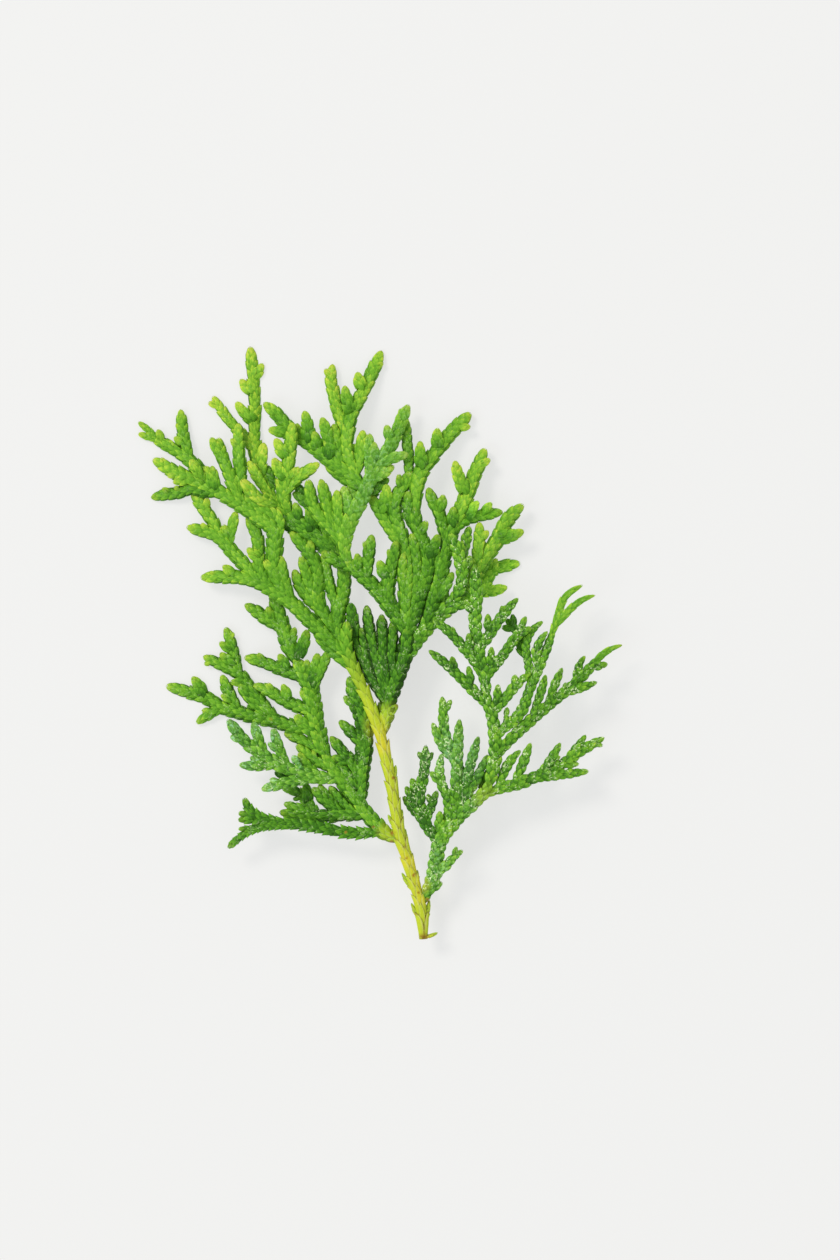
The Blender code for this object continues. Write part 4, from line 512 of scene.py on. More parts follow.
def twigLine(axis, tip, lean):
    # a side twig leaves its axis at a fixed lean and bends a little forwards
    spot = Vector((tip[0], tip[1], 0))
    distance, along, _ = nearestOn(axis, spot)
    start = max(along - distance * lean, growthRules["firstFoot"])
    foot = pointAt(axis, start)
    rise = tip[2] if len(tip) > 2 else 0
    end = Vector((spot.x, spot.y, foot.z + rise))
    ahead = pointAt(axis, start + 1) - foot
    out = end - foot
    side = out - ahead * (out.dot(ahead) / ahead.length_squared)
    return [foot, foot + out * 0.5 + side * growthRules["twigBend"], end]


# How each kind of growth looks: youth runs from dark to yellow green, bloom is the bluish bloom, flecks
# are the pale specks and painted glints, light is painted shade that dims what lies in shade and above 1
# painted light, beads pinches the twig between its leaf pairs, relief lifts the leaves' ends, glow is how
# pale the tips are and teeth turns the leaves' ends outwards.
toneParts = ("youth", "bloom", "flecks", "light", "beads", "relief", "glow", "teeth")
toneTable = {
    "fresh": (0.64, 0.0, 0.06, 1.0, 0.15, 0.7, 1.0, 0.0),
    # lit brightens low branches with painted light
    "lit": (0.58, 0.0, 0.08, 1.3, 0.2, 0.7, 0.8, 0.0),
    "mid": (0.50, 0.0, 0.15, 1.0, 0.3, 0.8, 0.8, 0.0),
    "deep": (0.36, 0.0, 0.22, 1.0, 0.45, 0.9, 0.5, 0.0),
    "fingers": (0.33, 0.0, 0.22, 1.0, 0.45, 0.9, 0.5, 0.0),
    "low": (0.37, 0.0, 0.25, 1.0, 0.35, 1.0, 0.4, 0.2),
    "raised": (0.46, 0.0, 0.55, 1.0, 0.8, 1.0, 0.3, 0.0),
    "slim": (0.60, 0.0, 0.1, 1.0, 0.1, 0.5, 0.8, 0.0),
    "blue": (0.48, 0.62, 0.4, 1.0, 0.4, 0.9, 0.3, 0.0),
    "haze": (0.52, 0.24, 0.12, 1.0, 0.3, 0.8, 0.9, 0.0),
    # shade and dark darken twigs that lie underneath with painted shade
    "shade": (0.34, 0.0, 0.15, 0.95, 0.4, 0.8, 0.2, 0.0),
    "dark": (0.28, 0.0, 0.15, 0.95, 0.5, 0.8, 0.0, 0.1),
    "stem": (0.62, 0.0, 0.0, 1.0, 0.2, 1.3, 0.5, 0.15),
}
tones = {kind: dict(zip(toneParts, values)) for kind, values in toneTable.items()}


class Sock:
    # a socket that Python's operators turn into Math nodes
    def __init__(self, tree, socket):
        self.tree = tree
        self.socket = socket

    def combine(self, operation, first, second=None):
        sockets = {0: first}
        if second is not None:
            sockets[1] = second
        return addNode(self.tree, "ShaderNodeMath", {"operation": operation}, sockets)[0]

    def __add__(self, other):
        return self.combine("ADD", self, other)

    def __radd__(self, other):
        return self.combine("ADD", other, self)

    def __sub__(self, other):
        return self.combine("SUBTRACT", self, other)

    def __rsub__(self, other):
        return self.combine("SUBTRACT", other, self)

    def __mul__(self, other):
        return self.combine("MULTIPLY", self, other)

    def __rmul__(self, other):
        return self.combine("MULTIPLY", other, self)

    def __truediv__(self, other):
        return self.combine("DIVIDE", self, other)

    def __pow__(self, other):
        return self.combine("POWER", self, other)

    def least(self, other):
        return self.combine("MINIMUM", self, other)

    def most(self, other):
        return self.combine("MAXIMUM", self, other)

    def remainder(self, other):
        return self.combine("MODULO", self, other)

    def above(self, other):
        return self.combine("GREATER_THAN", self, other)

    def between(self, low, high):
        # 0 below low, 1 above high, eased between
        sockets = {"Value": self, "From Min": low, "From Max": high, "To Min": 0.0, "To Max": 1.0}
        return addNode(self.tree, "ShaderNodeMapRange", {"interpolation_type": "SMOOTHSTEP"}, sockets)[0]


def addNode(tree, kind, settings=None, sockets=None):
    # one node: its settings first, then its sockets' values or links; gives back its outputs
    node = tree.nodes.new(kind)
    for name, setting in (settings or {}).items():
        if name == "stops":
            ramp = node.color_ramp
            while len(ramp.elements) < len(setting):
                ramp.elements.new(0.5)
            for element, (position, colour) in zip(ramp.elements, setting):
                element.position = position
                element.color = (*colour, 1)
        else:
            setattr(node, name, setting)
    for name, value in (sockets or {}).items():
        if isinstance(name, int):
            socket = node.inputs[name]
        else:
            socket = next(found for found in node.inputs if found.name == name and found.enabled)
        for part in value if isinstance(value, list) else [value]:
            if isinstance(part, Sock):
                tree.links.new(part.socket, socket)
            else:
                socket.default_value = part
    return [Sock(tree, socket) for socket in node.outputs if socket.enabled]


def outputOf(outputs, name):
    return next(found for found in outputs if found.socket.name == name)


def mixColours(tree, factor, first, second, blend="MIX"):
    settings = {"data_type": "RGBA", "blend_type": blend}
    return addNode(tree, "ShaderNodeMix", settings, {0: factor, 6: first, 7: second})[0]


def leafMesh(name, rings, tip, mirrors):
    # a closed scale through its rings and its twin, in half widths of the twig across and in shares of
    # its own length along; each vertex keeps its place in the leaf for the tree and the material
    bm = bmesh.new()
    layers = [bm.verts.layers.float.new(key) for key in ("leafAlong", "leafAcross", "leafSide", "leafHigh")]

    def addVertex(x, y, z, across):
        vertex = bm.verts.new((x, y, z))
        for layer, value in zip(layers, (y, across, x, z)):
            vertex[layer] = value
        return vertex

    for turnX, turnZ in mirrors:
        previous = None
        for along, points in rings:
            ring = [addVertex(x * turnX, along, z * turnZ, across) for x, z, across in points]
            if previous is None:
                bm.faces.new(ring)
            else:
                for index in range(len(ring)):
                    beside = (index + 1) % len(ring)
                    bm.faces.new((previous[index], previous[beside], ring[beside], ring[index]))
            previous = ring
        top = addVertex(tip[0] * turnX, 1, tip[1] * turnZ, 1)
        for index in range(len(previous)):
            bm.faces.new((previous[index], previous[(index + 1) % len(previous)], top))
    bmesh.ops.recalc_face_normals(bm, faces=bm.faces)
    for face in bm.faces:
        face.smooth = True
    for edge in bm.edges:    # a crisp line all round the leaf's border
        edge.smooth = not all(vertex[layers[1]] == 1 for vertex in edge.verts)
    mesh = bpy.data.meshes.new(name)
    bm.to_mesh(mesh)
    bm.free()
    item = bpy.data.objects.new(name, mesh)
    bpy.context.scene.collection.objects.link(item)
    return item


def facialLeaf():
    # the flat leaf over the middle of the twig, and its twin underneath: along, half width, crest, edge
    shape = ((0.00, 0.20, 0.42, 0.38), (0.25, 0.38, 0.44, 0.39), (0.50, 0.50, 0.45, 0.40),
             (0.72, 0.39, 0.45, 0.41), (0.88, 0.18, 0.45, 0.43))
    rings = []
    for along, wide, crest, edge in shape:
        shoulder = edge + (crest - edge) * 0.75
        rings.append((along, ((-wide, edge, 1), (-wide * 0.6, shoulder, 0.4), (0, crest, 0),
                              (wide * 0.6, shoulder, 0.4), (wide, edge, 1), (0, 0.1, 1))))
    return leafMesh("facial_leaf", rings, (0, 0.42), ((1, 1), (1, -1)))


def sideLeaf():
    # the folded leaf that wraps the twig's edge and ends in a small tooth, and its twin on the other
    # side: along, inner edge, outer edge, height
    shape = ((0.00, 0.00, 0.82, 0.41), (0.25, 0.00, 0.89, 0.43), (0.50, 0.05, 0.96, 0.43),
             (0.72, 0.26, 1.01, 0.38), (0.88, 0.58, 1.03, 0.26))
    rings = []
    for along, inner, outer, high in shape:
        middle = inner + (outer - inner) * 0.5
        rim = inner + (outer - inner) * 0.86
        rings.append((along, ((inner, high, 1), (middle, high * 0.96, 0.35), (rim, high * 0.66, 0.1),
                              (outer, 0, 0), (rim, -high * 0.66, 0.1), (middle, -high * 0.96, 0.35),
                              (inner, -high, 1))))
    return leafMesh("side_leaf", rings, (1.03, 0.02), ((1, 1), (-1, 1)))


leafPattern = {
    "Pair Spacing": 0.88,       # in the half width that sizes the leaves
    "Leaf Length": 2.6,         # in the same
    "Last Leaf": 0.9,           # nearer the tip than this, in the same, no more leaves start
    "Leaf Lift": 0.42,          # how much a leaf thickens towards its tip where relief is 1
    "Bead Depth": 0.26,         # how far the pinch between leaf pairs goes where beads is 1
    "Tip Turn": 0.24,           # how far the leaves' ends turn in again where beads is 1
    "Tip Point": 0.56,          # 0.5 ends a twig round, more ends it pointed
    "Foot Run": 3.6,            # length of a twig's wider foot, in its half widths
    "Tip Glow": 0.0045,         # metres over which a twig grows paler towards its tip
    "Size Change": 0.07,        # how much leaves differ in size, each way
    "Turn Change": 0.12,        # and in how they are turned about the twig, in radians
    "Lowest": 0.00005,          # metres above the surface, where the undersides are pressed flat
}


def dressingTree(name):
    # covers a twig in pairs of scale leaves, each pair crossed with the last, bent along the twig and
    # drawn in together under its blunt tip
    tree = bpy.data.node_groups.new(name, "GeometryNodeTree")
    tree.interface.new_socket("Geometry", in_out="INPUT", socket_type="NodeSocketGeometry")
    for socketName in leafPattern:
        tree.interface.new_socket(socketName, in_out="INPUT", socket_type="NodeSocketFloat")
    for socketName in ("Facial Leaf", "Side Leaf"):
        tree.interface.new_socket(socketName, in_out="INPUT", socket_type="NodeSocketObject")
    tree.interface.new_socket("Leaf Material", in_out="INPUT", socket_type="NodeSocketMaterial")
    tree.interface.new_socket("Seed", in_out="INPUT", socket_type="NodeSocketInt")
    tree.interface.new_socket("Geometry", in_out="OUTPUT", socket_type="NodeSocketGeometry")
    take = {found.socket.name: found for found in addNode(tree, "NodeGroupInput")}

    def add(kind, settings=None, sockets=None):
        return addNode(tree, kind, settings, sockets)[0]

    def attribute(attributeName, kind="FLOAT"):
        return add("GeometryNodeInputNamedAttribute", {"data_type": kind}, {"Name": attributeName})

    def store(geometry, attributeName, value, kind="FLOAT", domain="POINT"):
        return add("GeometryNodeStoreNamedAttribute", {"data_type": kind, "domain": domain},
                   {"Geometry": geometry, "Name": attributeName, "Value": value})

    def vector(operation, first, second):
        return add("ShaderNodeVectorMath", {"operation": operation}, {0: first, 1: second})

    def scaled(direction, size):
        return add("ShaderNodeVectorMath", {"operation": "SCALE"}, {"Vector": direction, "Scale": size})

    half = attribute("halfWidth")
    leafUnit = attribute("leafSize") * attribute("stretch")
    lines = add("GeometryNodeMeshToCurve", None, {"Mesh": take["Geometry"]})
    lines = add("GeometryNodeCurveSplineType", {"spline_type": "CATMULL_ROM"}, {"Curve": lines})
    spots = add("GeometryNodeResampleCurve", {"mode": "LENGTH"},
                {"Curve": lines, "Length": leafUnit * take["Pair Spacing"]})
    parameter = addNode(tree, "GeometryNodeSplineParameter")
    toStart = outputOf(parameter, "Length")
    lineLength = outputOf(addNode(tree, "GeometryNodeSplineLength"), "Length")
    roomy = (lineLength - toStart).above(leafUnit * take["Last Leaf"])
    spots = store(spots, "startAt", toStart)
    spots = store(spots, "whole", lineLength)
    spots = store(spots, "roomy", roomy)
    curveIndex = outputOf(addNode(tree, "GeometryNodeCurveOfPoint"), "Curve Index")
    spots = store(spots, "lineIndex", curveIndex, "INT")
    odd = (outputOf(parameter, "Index") + attribute("phase")).remainder(2.0)
    layers = []
    for leafName, chosen in (("Facial Leaf", odd), ("Side Leaf", 1 - odd)):
        leaf = outputOf(addNode(tree, "GeometryNodeObjectInfo", None, {"Object": take[leafName]}), "Geometry")
        placed = add("GeometryNodeInstanceOnPoints", None,
                     {"Points": spots, "Selection": chosen * attribute("roomy"), "Instance": leaf})
        anyNumber = add("FunctionNodeRandomValue", {"data_type": "FLOAT"},
                        {"Min": 0.0, "Max": 1.0, "Seed": take["Seed"] + len(layers)})
        layers.append(store(placed, "leafRandom", anyNumber, domain="INSTANCE"))
    leaves = add("GeometryNodeJoinGeometry", None, {"Geometry": layers})
    leaves = add("GeometryNodeRealizeInstances", None, {"Geometry": leaves})

    leafAlong = attribute("leafAlong")
    whole = attribute("whole")
    startAt = attribute("startAt")
    beads = attribute("beads")
    leafLength = (leafUnit * take["Leaf Length"]).least(whole - startAt)
    spot = startAt + leafAlong * leafLength
    found = addNode(tree, "GeometryNodeSampleCurve", {"mode": "LENGTH", "use_all_curves": False},
                    {"Curves": lines, "Value": half, "Length": spot,
                     "Curve Index": attribute("lineIndex", "INT")})
    halfHere = outputOf(found, "Value")
    tangent = outputOf(found, "Tangent")
    toTip = ((whole - spot) / (halfHere * attribute("tipRun"))).most(0.0).least(1.0)
    fromFoot = (spot / (halfHere * take["Foot Run"])).between(0.0, 1.0)
    footWidth = attribute("footWidth")
    envelope = (1 - (1 - toTip) ** 2.0) ** take["Tip Point"] * (footWidth + (1 - footWidth) * fromFoot)
    pinch = 1 - beads * take["Bead Depth"] * (1 - leafAlong.between(0.0, 0.6))
    turned = 1 + (attribute("teeth") - beads * take["Tip Turn"]) * leafAlong.between(0.65, 1.0)
    change = 1 + (attribute("leafRandom") - 0.5) * take["Size Change"] * 2
    width = halfHere * envelope * pinch * turned * change
    side = vector("NORMALIZE", vector("CROSS_PRODUCT", tangent, (0, 0, 1)), (0, 0, 0))
    angle = attribute("roll") + (attribute("leafRandom") - 0.5) * take["Turn Change"] * 2
    side = add("ShaderNodeVectorRotate", {"rotation_type": "AXIS_ANGLE"},
               {"Vector": side, "Center": (0, 0, 0), "Axis": tangent, "Angle": angle})
    upward = vector("CROSS_PRODUCT", side, tangent)
    place = vector("ADD", outputOf(found, "Position"), scaled(side, attribute("leafSide") * width))
    lift = attribute("fullness") * (1 + attribute("relief") * take["Leaf Lift"] * (leafAlong - 0.5))
    place = vector("ADD", place, scaled(upward, attribute("leafHigh") * width * lift))
    parts = addNode(tree, "ShaderNodeSeparateXYZ", None, {"Vector": place})
    place = add("ShaderNodeCombineXYZ", None,
                {"X": parts[0], "Y": parts[1], "Z": parts[2].most(take["Lowest"])})
    nearTip = (1 - (whole - spot) / take["Tip Glow"]).most(0.0)
    leaves = store(leaves, "nearTip", nearTip)
    leaves = add("GeometryNodeSetPosition", None, {"Geometry": leaves, "Position": place})
    leaves = add("GeometryNodeSetMaterial", None, {"Geometry": leaves, "Material": take["Leaf Material"]})
    addNode(tree, "NodeGroupOutput", None, {"Geometry": leaves})
    return tree


def setInputs(modifier, values):
    # a modifier's inputs are reached by the identifiers of their sockets
    for socket in modifier.node_group.interface.items_tree:
        if socket.in_out == "INPUT" and socket.name in values:
            modifier[socket.identifier] = values[socket.name]


def plainMesh(name, host):
    # the modifiers' result as a mesh of its own, in place of its host
    bpy.context.view_layer.update()
    graph = bpy.context.evaluated_depsgraph_get()
    mesh = bpy.data.meshes.new_from_object(host.evaluated_get(graph))
    mesh.name = name
    bpy.data.objects.remove(host, do_unlink=True)
    piece = bpy.data.objects.new(name, mesh)
    bpy.context.scene.collection.objects.link(piece)
    return piece


def growLines():
    # every axis and side twig as a line with what it passes on to its leaves
    rules = growthRules
    lines = []
    grown = []
    axes = [(node, kind, shift, *axis) for node, kind, shift, *itsAxes in allGrowth for axis in itsAxes]
    for number, (node, kind, shift, halfWidth, heights, path, *tips) in enumerate(axes):
        axis = axisLine(heights, path, grown)
        grown.append(axis)
        isStem = node == "main_stem"
        isFine = node.startswith("raised")
        common = {"node": node, "number": number, "tone": tones[kind], "shift": shift}
        wide = halfWidth * rules["stemGain" if isStem else "fineAxisGain" if isFine else "axisGain"]
        shown = axis
        if isStem:
            shown = axis[:rules["stemTop"] + 1]
            lines.append({**common, **lineShapes["stemTop"], "half": wide, "leafSize": halfWidth,
                          "footWidth": 1.0, "points": axis[rules["stemTop"] - 1:], "isAxis": 0, "isTwig": 0})
        shape = kind if kind in ("stem", "slim") else "fineAxis" if isFine else "axis"
        axisKeys = {**common, **lineShapes[shape], "leafSize": min(halfWidth, rules["widestLeaf"]),
                    "footWidth": rules["stemFootWidth"] if isStem else 1.0, "isTwig": 0}
        isDense = kind in rules["topWidth"] and lengthsAlong(axis)[-1] > rules["denseLength"]
        # a dense axis gets a lower, wider layer of leaves darkened with painted shade
        if isDense:
            low = [spot - Vector((0, 0, rules["underDrop"])) for spot in axis]
            lowTone = {**tones[kind], "light": rules["underLight"][kind]}
            lines.append({**axisKeys, "tone": lowTone, "shift": shift - rules["underShade"],
                          "points": low, "half": wide * rules["underWidth"], "isAxis": 1})
        narrower = rules["topWidth"][kind] if isDense else 1
        lines.append({**axisKeys, "half": wide * narrower, "points": shown,
                      "isAxis": 0 if isStem or isDense else 1})
        for tip in tips[0] if tips else ():
            twig = twigLine(axis, tip, rules["stemLeafLean" if isStem else "twigLean"])
            length = lengthsAlong(twig)[-1]
            if isStem:
                sizes = {**lineShapes["stemTwig"], "half": rules["stemTwigHalfWidth"],
                         "leafSize": rules["stemTwigLeaf"], "footWidth": 1.0}
            else:
                half = min(rules["fineHalfWidth" if isFine else "twigHalfWidth"], wide,
                           length * rules["shortTwig"] + rules["leastTwig"])
                sizes = {**lineShapes["fineTwig" if isFine else "twig"], "half": half,
                         "leafSize": rules["fineLeaf" if isFine else "twigLeaf"],
                         "footWidth": 1 + (rules["footWidth"] - 1) * min(length / rules["longTwig"], 1)}
            lines.append({**common, **sizes, "points": twig, "isAxis": 0, "isTwig": 1})
    for line in lines:
        if line["node"] != "main_stem":
            onwards = (line["points"][-1] - line["points"][-2]).normalized()
            line["points"] = [*line["points"][:-1], line["points"][-1] + onwards * growthRules["tipReach"]]
    return lines


def hostMesh(name, lines):
    # the lines as loose edges, with what each point passes on to its leaves as attributes
    rules = growthRules
    vertices = []
    edges = []
    columns = {}

    def note(key, value):
        columns.setdefault(key, []).append(value)

    for line in lines:
        isStem = line["node"] == "main_stem"
        points = line["points"]
        lengths = lengthsAlong(points)
        whole = lengths[-1]
        gain = rules["footGain"] * min(whole / rules["longAxis"], 1) * line["isAxis"]
        neck = 0 if line["isTwig"] or isStem else rules["footNeck"]
        start = len(vertices)
        for place, along in zip(points, lengths):
            share = along / whole
            widened = 1 + gain * min(rules["gainRate"] * share, 1) * (1 - share)
            necked = 1 - neck * (1 - min(rules["neckRate"] * share, 1))
            greened = min(max((place.y - rules["yellowTop"]) / rules["yellowFade"], 0), 1)
            yellow = 1 - greened if isStem else 0.0
            vertices.append(place * mm - drawingMiddle)
            note("halfWidth", line["half"] * mm * (widened * necked))
            note("leafSize", line["leafSize"] * mm)
            for key in ("footWidth", "stretch", "tipRun"):
                note(key, line[key])
            for key in toneParts[1:]:
                note(key, line["tone"][key])
            note("youth", line["tone"]["youth"] + line["shift"])
            note("yellow", yellow * (1 - rules["leafFade"] * share * line["isTwig"]))
            note("crotch", (1 - share) * line["isTwig"] * min(whole / rules["crotchTwig"], 1))
            note("roll", radians(rules["rollTurn"]) * sin(line["number"] * rules["rollStep"] + start))
            note("phase", start % 2 * line["isTwig"])
            note("fullness", rules["stemFullness" if isStem else "fullness"])
        edges.extend((index, index + 1) for index in range(start, len(vertices) - 1))
    mesh = bpy.data.meshes.new(name)
    mesh.from_pydata(vertices, edges, [])
    for key, values in columns.items():
        mesh.attributes.new(key, "FLOAT", "POINT").data.foreach_set("value", values)
    host = bpy.data.objects.new(name, mesh)
    bpy.context.scene.collection.objects.link(host)
    return host


def newMaterial(name):
    material = bpy.data.materials.new(name)
    material.use_nodes = True
    return material, material.node_tree.nodes["Principled BSDF"]


leafColours = {
    "youth": ((0.0, (0.008, 0.045, 0.003)), (0.25, (0.048, 0.185, 0.006)), (0.5, (0.115, 0.335, 0.014)),
              (0.7, (0.190, 0.440, 0.024)), (0.9, (0.345, 0.59, 0.035)), (1.0, (0.52, 0.64, 0.06))),
    "tip": (0.46, 0.56, 0.05),
    "bloom": (0.36, 0.68, 0.38),
    # the pale specks, partly painted glints
    "paleSpeckAndGlint": (0.80, 0.94, 0.50),
    "stemYellow": (0.65, 0.59, 0.03),
    "stemGreen": (0.40, 0.58, 0.025),
    "stemBrown": (0.34, 0.15, 0.02),
    "stemEdge": (0.70, 0.76, 0.26),
}

leafGrain = {    # each pattern's scale per metre and its detail
    "patches": (90.0, 2.0), "fine": (1500.0, 3.0), "blotches": (700.0, 3.0), "clusters": (420.0, 2.0),
    # the speck pattern is partly painted glints, the rim pattern painted glints
    "speckAndGlintPattern": (2200.0, 2.0), "rimGlints": (900.0, 2.0), "gloss": (3300.0, 2.0),
}

leafFinish = {
    "patchChange": 0.45,        # how much youth changes over the plant
    "tipLight": 0.2,            # towards a twig's tip, where glow is 1
    "rimLight": 0.13,           # painted light towards its edges, where it has no flecks
    "crotchShade": 0.2,         # painted shade at a twig's foot
    "grainChange": 0.2,         # by each fine pattern
    "leafChange": 0.18,         # from leaf to leaf
    "contrast": 0.8,            # of the last two
    "fleckContrast": 0.9,       # how much more where flecks is 1
    "leastYouth": 0.15,
    "ripeTip": 0.25,            # how yellow the tips are
    "ripeMottle": 0.4,
    "bloomAll": 0.12,           # how much of the bloom lies away from the tips
    "filmAll": 0.15,            # and between the spots of its film
    "markSoftness": 0.3,        # share of a mark's radius within which it is whole
    "edgePale": 0.42,           # pale edges on the leaves of the stem
    "greenPatch": 0.6,          # how green the stem's patches are, its upper end and its leaves' ends
    "greenTop": 0.7,
    "greenEnd": 0.3,
    "brown": 0.9,               # strength of the brown
    "groove": 0.26,             # painted shade: how dark a leaf's border is
    "base": 0.05,               # and its base
    "fleckShade": 0.4,          # how much darker both are where flecks is 1
    # how strong the pale specks and painted glints are
    "speckAndGlintAmount": 1.2,
    "roughness": 0.55,
    "fleckSmooth": 0.1,         # how much smoother where flecks is 1
    "roughChange": 0.1,
    "gloss": 0.5,
    "coatRoughness": 0.2,
    "specular": 0.12,
    "bumpStrength": 0.6,
    "bumpDistance": 0.00014,
}

# Marks are written as across and up the drawing and the radius, in millimetres, and, where a fourth
# number follows, how strong they are.
# where the stem's yellow runs out into the foot of a branch
yellowFeet = ((2.2, -41.6, 3.4, 0.6), (1.9, -17.8, 6.0, 1.0), (9.6, -53.2, 2.6, 0.5),
              (23.5, -33.5, 4.0, 0.22))

# where the upper centre spray is bluish all over, and where the raised spray is
hazePlace = (-0.6, 36.5, 14.0)
bloomPlaces = ((17.0, -24.0, 9.0, 0.32), (11.5, -49.0, 8.0, 0.26), (22.0, -36.0, 6.0, 0.15))

# brown marks on the stem, its cut end and the forks
brownMarks = ((10.1, -65.2, 1.9), (8, -51, 0.8), (6.3, -47, 0.6), (3.3, -41.7, 0.9), (3, -43.7, 0.7),
              (-1, -40.5, 0.6), (10.8, -56.5, 0.9), (4, -13.8, 0.7), (-7, -41.5, 0.5),
              (-23.5, -16.7, 0.6), (3.4, -29.5, 0.6), (9, -54.6, 0.6))


def leafMaterial():
    material, shader = newMaterial("scale_leaves")
    tree = material.node_tree
    finish = leafFinish

    def add(kind, settings=None, sockets=None):
        return addNode(tree, kind, settings, sockets)[0]

    def attribute(name):
        return outputOf(addNode(tree, "ShaderNodeAttribute", {"attribute_name": name}), "Fac")

    place = outputOf(addNode(tree, "ShaderNodeTexCoord"), "Object")

    def noise(name):
        scale, detail = leafGrain[name]
        return add("ShaderNodeTexNoise", None, {"Vector": place, "Scale": scale, "Detail": detail})

    flat = add("ShaderNodeVectorMath", {"operation": "MULTIPLY"}, {0: place, 1: (1, 1, 0)})

    def nearMark(mark):
        # 1 on the mark, 0 outside it
        centre = Vector((mark[0], mark[1], 0)) * mm - drawingMiddle
        away = add("ShaderNodeVectorMath", {"operation": "DISTANCE"}, {0: flat, 1: centre})
        return away.between(mark[2] * mm, mark[2] * mm * finish["markSoftness"])

    def tint(factor, under, name):
        return mixColours(tree, factor, under, (*leafColours[name], 1))

    along = attribute("leafAlong")
    across = attribute("leafAcross")
    anyNumber = attribute("leafRandom")
    flecks = attribute("flecks")
    nearTip = attribute("nearTip")
    glow = attribute("glow")
    outward = attribute("leafSide")

    # green, from the youth of the growth, with painted light towards the twigs' edges and painted shade at
    # their feet
    onLeaf = add("ShaderNodeCombineXYZ", None,
                 {"X": outward * 7.0, "Y": along * 1.2, "Z": anyNumber * 40})    # long along the leaf
    fibreNoise = add("ShaderNodeTexNoise", None, {"Vector": onLeaf, "Scale": 1.0, "Detail": 2.0})
    fibres = fibreNoise.between(0.3, 0.7)
    patches = noise("patches")
    fine = noise("fine")
    mottle = fine.between(0.32, 0.68)
    contrast = finish["contrast"] + flecks * finish["fleckContrast"]
    shown = along.between(0.3, 0.95)
    rimLight = (outward * outward).between(0.45, 1.0) * (1 - flecks.between(0.2, 0.5)) * finish["rimLight"]
    youth = (attribute("youth") + (patches - 0.5) * finish["patchChange"]
             + nearTip * glow * finish["tipLight"] + rimLight
             - attribute("crotch").between(0.4, 1.0) * finish["crotchShade"]
             + ((mottle + fibres + shown - 1.5) * finish["grainChange"]
                + (anyNumber - 0.5) * finish["leafChange"]) * contrast)
    colour = add("ShaderNodeValToRGB", {"stops": leafColours["youth"]},
                 {"Fac": youth.most(finish["leastYouth"])})
    ripe = nearTip.between(0.5, 1.0) * glow * (finish["ripeTip"] + finish["ripeMottle"] * mottle)
    colour = tint(ripe, colour, "tip")

    # the bluish film
    hazy = nearTip.between(0.0, 0.7).most(nearMark(hazePlace))
    bloomed = attribute("bloom") * (finish["bloomAll"] + (1 - finish["bloomAll"]) * hazy)
    for mark in bloomPlaces:
        bloomed = bloomed.most(nearMark(mark) * mark[3] * flecks.between(0.45, 0.5))
    bloom = bloomed * (finish["filmAll"] + (1 - finish["filmAll"]) * fine.between(0.50, 0.64))
    colour = tint(bloom.least(1.0), colour, "bloom")

    # the stem's yellow, and its greener patches and pale edges
    upStem = addNode(tree, "ShaderNodeSeparateXYZ", None, {"Vector": place})[1].between(-0.024, -0.012)
    greener = (patches.between(0.44, 0.60) * finish["greenPatch"] + upStem * finish["greenTop"]
               + along.between(0.7, 1.0) * finish["greenEnd"])
    stemColour = tint(greener.least(1.0), (*leafColours["stemYellow"], 1), "stemGreen")
    pale = across.between(0.3, 0.8) * along.between(0.1, 0.6) * finish["edgePale"] * (1 - upStem * 0.7)
    stemColour = tint(pale, stemColour, "stemEdge")
    onStem = attribute("yellow")
    yellow = onStem
    for mark in yellowFeet:
        yellow = yellow.most(nearMark(mark) * mark[3])
    colour = mixColours(tree, yellow, colour, stemColour)

    # brown leaf ends, edges and marks
    browning = onStem * along.between(0.8, 1.0) * anyNumber.between(0.55, 0.7) * mottle
    edged = across.between(0.6, 1.0) * patches.between(0.46, 0.58) * (1 - upStem)
    browning = browning.most(onStem * edged * (0.2 + 0.6 * mottle))
    blotches = noise("blotches").between(0.42, 0.58)
    for mark in brownMarks:
        browning = browning.most(nearMark(mark) * (0.2 + 0.8 * blotches))
    colour = tint(browning * finish["brown"], colour, "stemBrown")

    # painted shade between the leaves and at their bases, with the growth's painted shade or light
    groove = across ** 5.0 * (finish["groove"] + finish["fleckShade"] * flecks)
    base = (1 - along.between(0.15, 0.65)) * (finish["base"] + finish["fleckShade"] * flecks)
    shade = (1 - groove) * (1 - base) * attribute("light")
    grey = add("ShaderNodeCombineColor", None, {0: shade, 1: shade, 2: shade})
    colour = mixColours(tree, 1.0, colour, grey, "MULTIPLY")

    # pale flecks in clusters, partly the leaves' own pale spots and partly painted glints; along the leaves'
    # rims they are painted glints only
    rim = across.between(0.3, 0.6) * (1 - across.between(0.8, 0.95))
    speckAndGlintPattern = noise("speckAndGlintPattern").between(0.59, 0.63) + rim * noise("rimGlints").between(0.51, 0.56) * 0.5
    speckAndGlintMask = speckAndGlintPattern * noise("clusters").between(0.45, 0.6) * flecks * finish["speckAndGlintAmount"]
    colour = tint(speckAndGlintMask.least(1.0), colour, "paleSpeckAndGlint")

    rough = finish["roughness"] - flecks * finish["fleckSmooth"] + (mottle - 0.5) * finish["roughChange"]
    gloss = noise("gloss").between(0.5, 0.6) * flecks * finish["gloss"]
    bump = add("ShaderNodeBump", None,
               {"Strength": finish["bumpStrength"], "Distance": finish["bumpDistance"],
                "Height": mottle * 0.6 + fibres * 0.4})
    driven = {"Base Color": colour, "Roughness": rough, "Coat Weight": gloss, "Normal": bump}
    for name, value in driven.items():
        tree.links.new(value.socket, shader.inputs[name])
    shader.inputs["Coat Roughness"].default_value = finish["coatRoughness"]
    shader.inputs["Specular IOR Level"].default_value = finish["specular"]
    return material


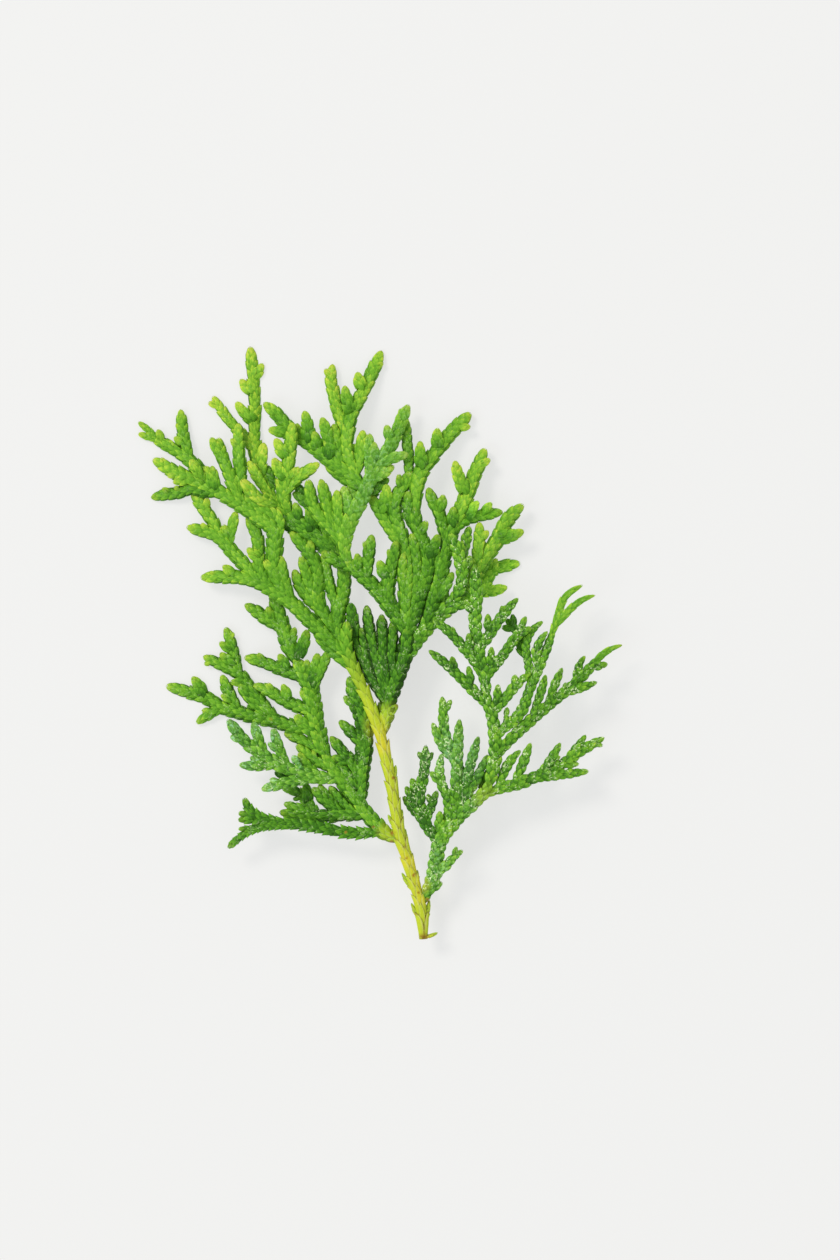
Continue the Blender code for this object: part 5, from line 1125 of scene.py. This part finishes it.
# each piece, the nodes whose names start so, and its finish
regions = {
    "stem_bark": (("main_stem",), "stem_yellow"),
    "left_arm_foliage": (("left_arm", "long_left"), "fresh_green"),
    "leader_foliage": (("leader",), "fresh_green"),
    "centre_foliage": (("centre_spray", "centre_crossing", "centre_inner", "centre_left", "upper_", "top_"),
                       "mid_green"),
    "right_foliage": (("centre_column", "right_"), "mid_green"),
    "lower_left_foliage": (("lower_left", "left_tip", "low_", "lowest"), "mid_green"),
    "raised_foliage": (("raised",), "deep_green"),
}
firstSeed = 11

allLines = growLines()
print("growth:", len(allLines), "lines")
facial = facialLeaf()
side = sideLeaf()
leafSkin = leafMaterial()
dressing = dressingTree("leaf_dressing")
for number, (name, (starts, slotName)) in enumerate(regions.items()):
    mine = [line for line in allLines if line["node"].startswith(starts)]
    host = hostMesh(name + "_lines", mine)
    modifier = host.modifiers.new("dressing", "NODES")
    modifier.node_group = dressing
    setInputs(modifier, {**leafPattern, "Facial Leaf": facial, "Side Leaf": side,
                         "Leaf Material": leafSkin, "Seed": firstSeed + number})
    piece = plainMesh(name, host)
    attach(piece, "root")
    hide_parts(*sorted({line["node"] for line in mine}))
    print(name, len(mine), "lines", sum(len(face.vertices) - 2 for face in piece.data.polygons), "triangles")
bpy.data.objects.remove(facial)
bpy.data.objects.remove(side)

setup = {
    "floorReach": 3.0,
    "floorColour": (0.215, 0.213, 0.206),
    "floorGlow": 0.638,
    "glowColour": (1.0, 0.997, 0.985),
    "floorRoughness": 0.9,
    "floorSpecular": 0.1,
    "cameraHeight": 1.3,
    "sensorHigh": 24.0,
    "pixel": 0.22,             # millimetres of the drawing frame in one pixel of the photograph
    "pixelHeight": 0.004,      # the height above the surface where that holds, in metres
    "pictureHigh": 1260,
    "pictureMiddle": (9.24, 2.86),
    "skyStrength": 0.72,
    "skyColour": (0.93, 0.96, 1.0),
    "lightDistance": 3.0,
}

softLights = {
    "key_light": {"towards": (-0.62, 0.55, 0.95), "size": 0.95, "power": 47.0, "colour": (1.0, 0.96, 0.90)},
    "fill_light": {"towards": (-0.75, -0.55, 0.9), "size": 1.4, "power": 15.0, "colour": (0.78, 0.90, 1.0)},
}

reach = setup["floorReach"]
corners = [(-reach, -reach, 0), (reach, -reach, 0), (reach, reach, 0), (-reach, reach, 0)]
floorMesh = bpy.data.meshes.new("floor")
floorMesh.from_pydata(corners, [], [(0, 1, 2, 3)])
floor = bpy.data.objects.new("floor", floorMesh)
bpy.context.scene.collection.objects.link(floor)
floorSkin, floorShader = newMaterial("pale_floor")
floorShader.inputs["Base Color"].default_value = (*setup["floorColour"], 1)
floorShader.inputs["Emission Color"].default_value = (*setup["glowColour"], 1)
floorShader.inputs["Emission Strength"].default_value = setup["floorGlow"]
floorShader.inputs["Roughness"].default_value = setup["floorRoughness"]
floorShader.inputs["Specular IOR Level"].default_value = setup["floorSpecular"]
floorMesh.materials.append(floorSkin)


def addArea(name, towards, size, power, colour):
    light = bpy.data.lights.new(name, "AREA")
    light.shape = "DISK"
    light.size = size
    light.energy = power
    light.color = colour
    item = bpy.data.objects.new(name, light)
    direction = Vector(towards).normalized()
    item.location = direction * setup["lightDistance"]
    item.rotation_euler = direction.to_track_quat("Z", "Y").to_euler()
    bpy.context.scene.collection.objects.link(item)


for name, values in softLights.items():
    addArea(name, **values)

world = bpy.data.worlds.new("sky")
bpy.context.scene.world = world
world.use_nodes = True
background = world.node_tree.nodes["Background"]
background.inputs["Color"].default_value = (*setup["skyColour"], 1)
background.inputs["Strength"].default_value = setup["skyStrength"]

cameraData = bpy.data.cameras.new("camera")
camera = bpy.data.objects.new("camera", cameraData)
bpy.context.scene.collection.objects.link(camera)
middle = Vector((*setup["pictureMiddle"], 0)) * mm - drawingMiddle
camera.location = (middle.x, middle.y, setup["cameraHeight"])
cameraData.sensor_fit = "VERTICAL"
cameraData.sensor_height = setup["sensorHigh"]
spanHigh = setup["pictureHigh"] * setup["pixel"] * mm
cameraData.lens = setup["sensorHigh"] * (setup["cameraHeight"] - setup["pixelHeight"]) / spanHigh
cameraData.clip_end = 20.0
bpy.context.scene.camera = camera
bpy.context.scene.view_settings.view_transform = "Standard"
print("floor, lights and camera are set")
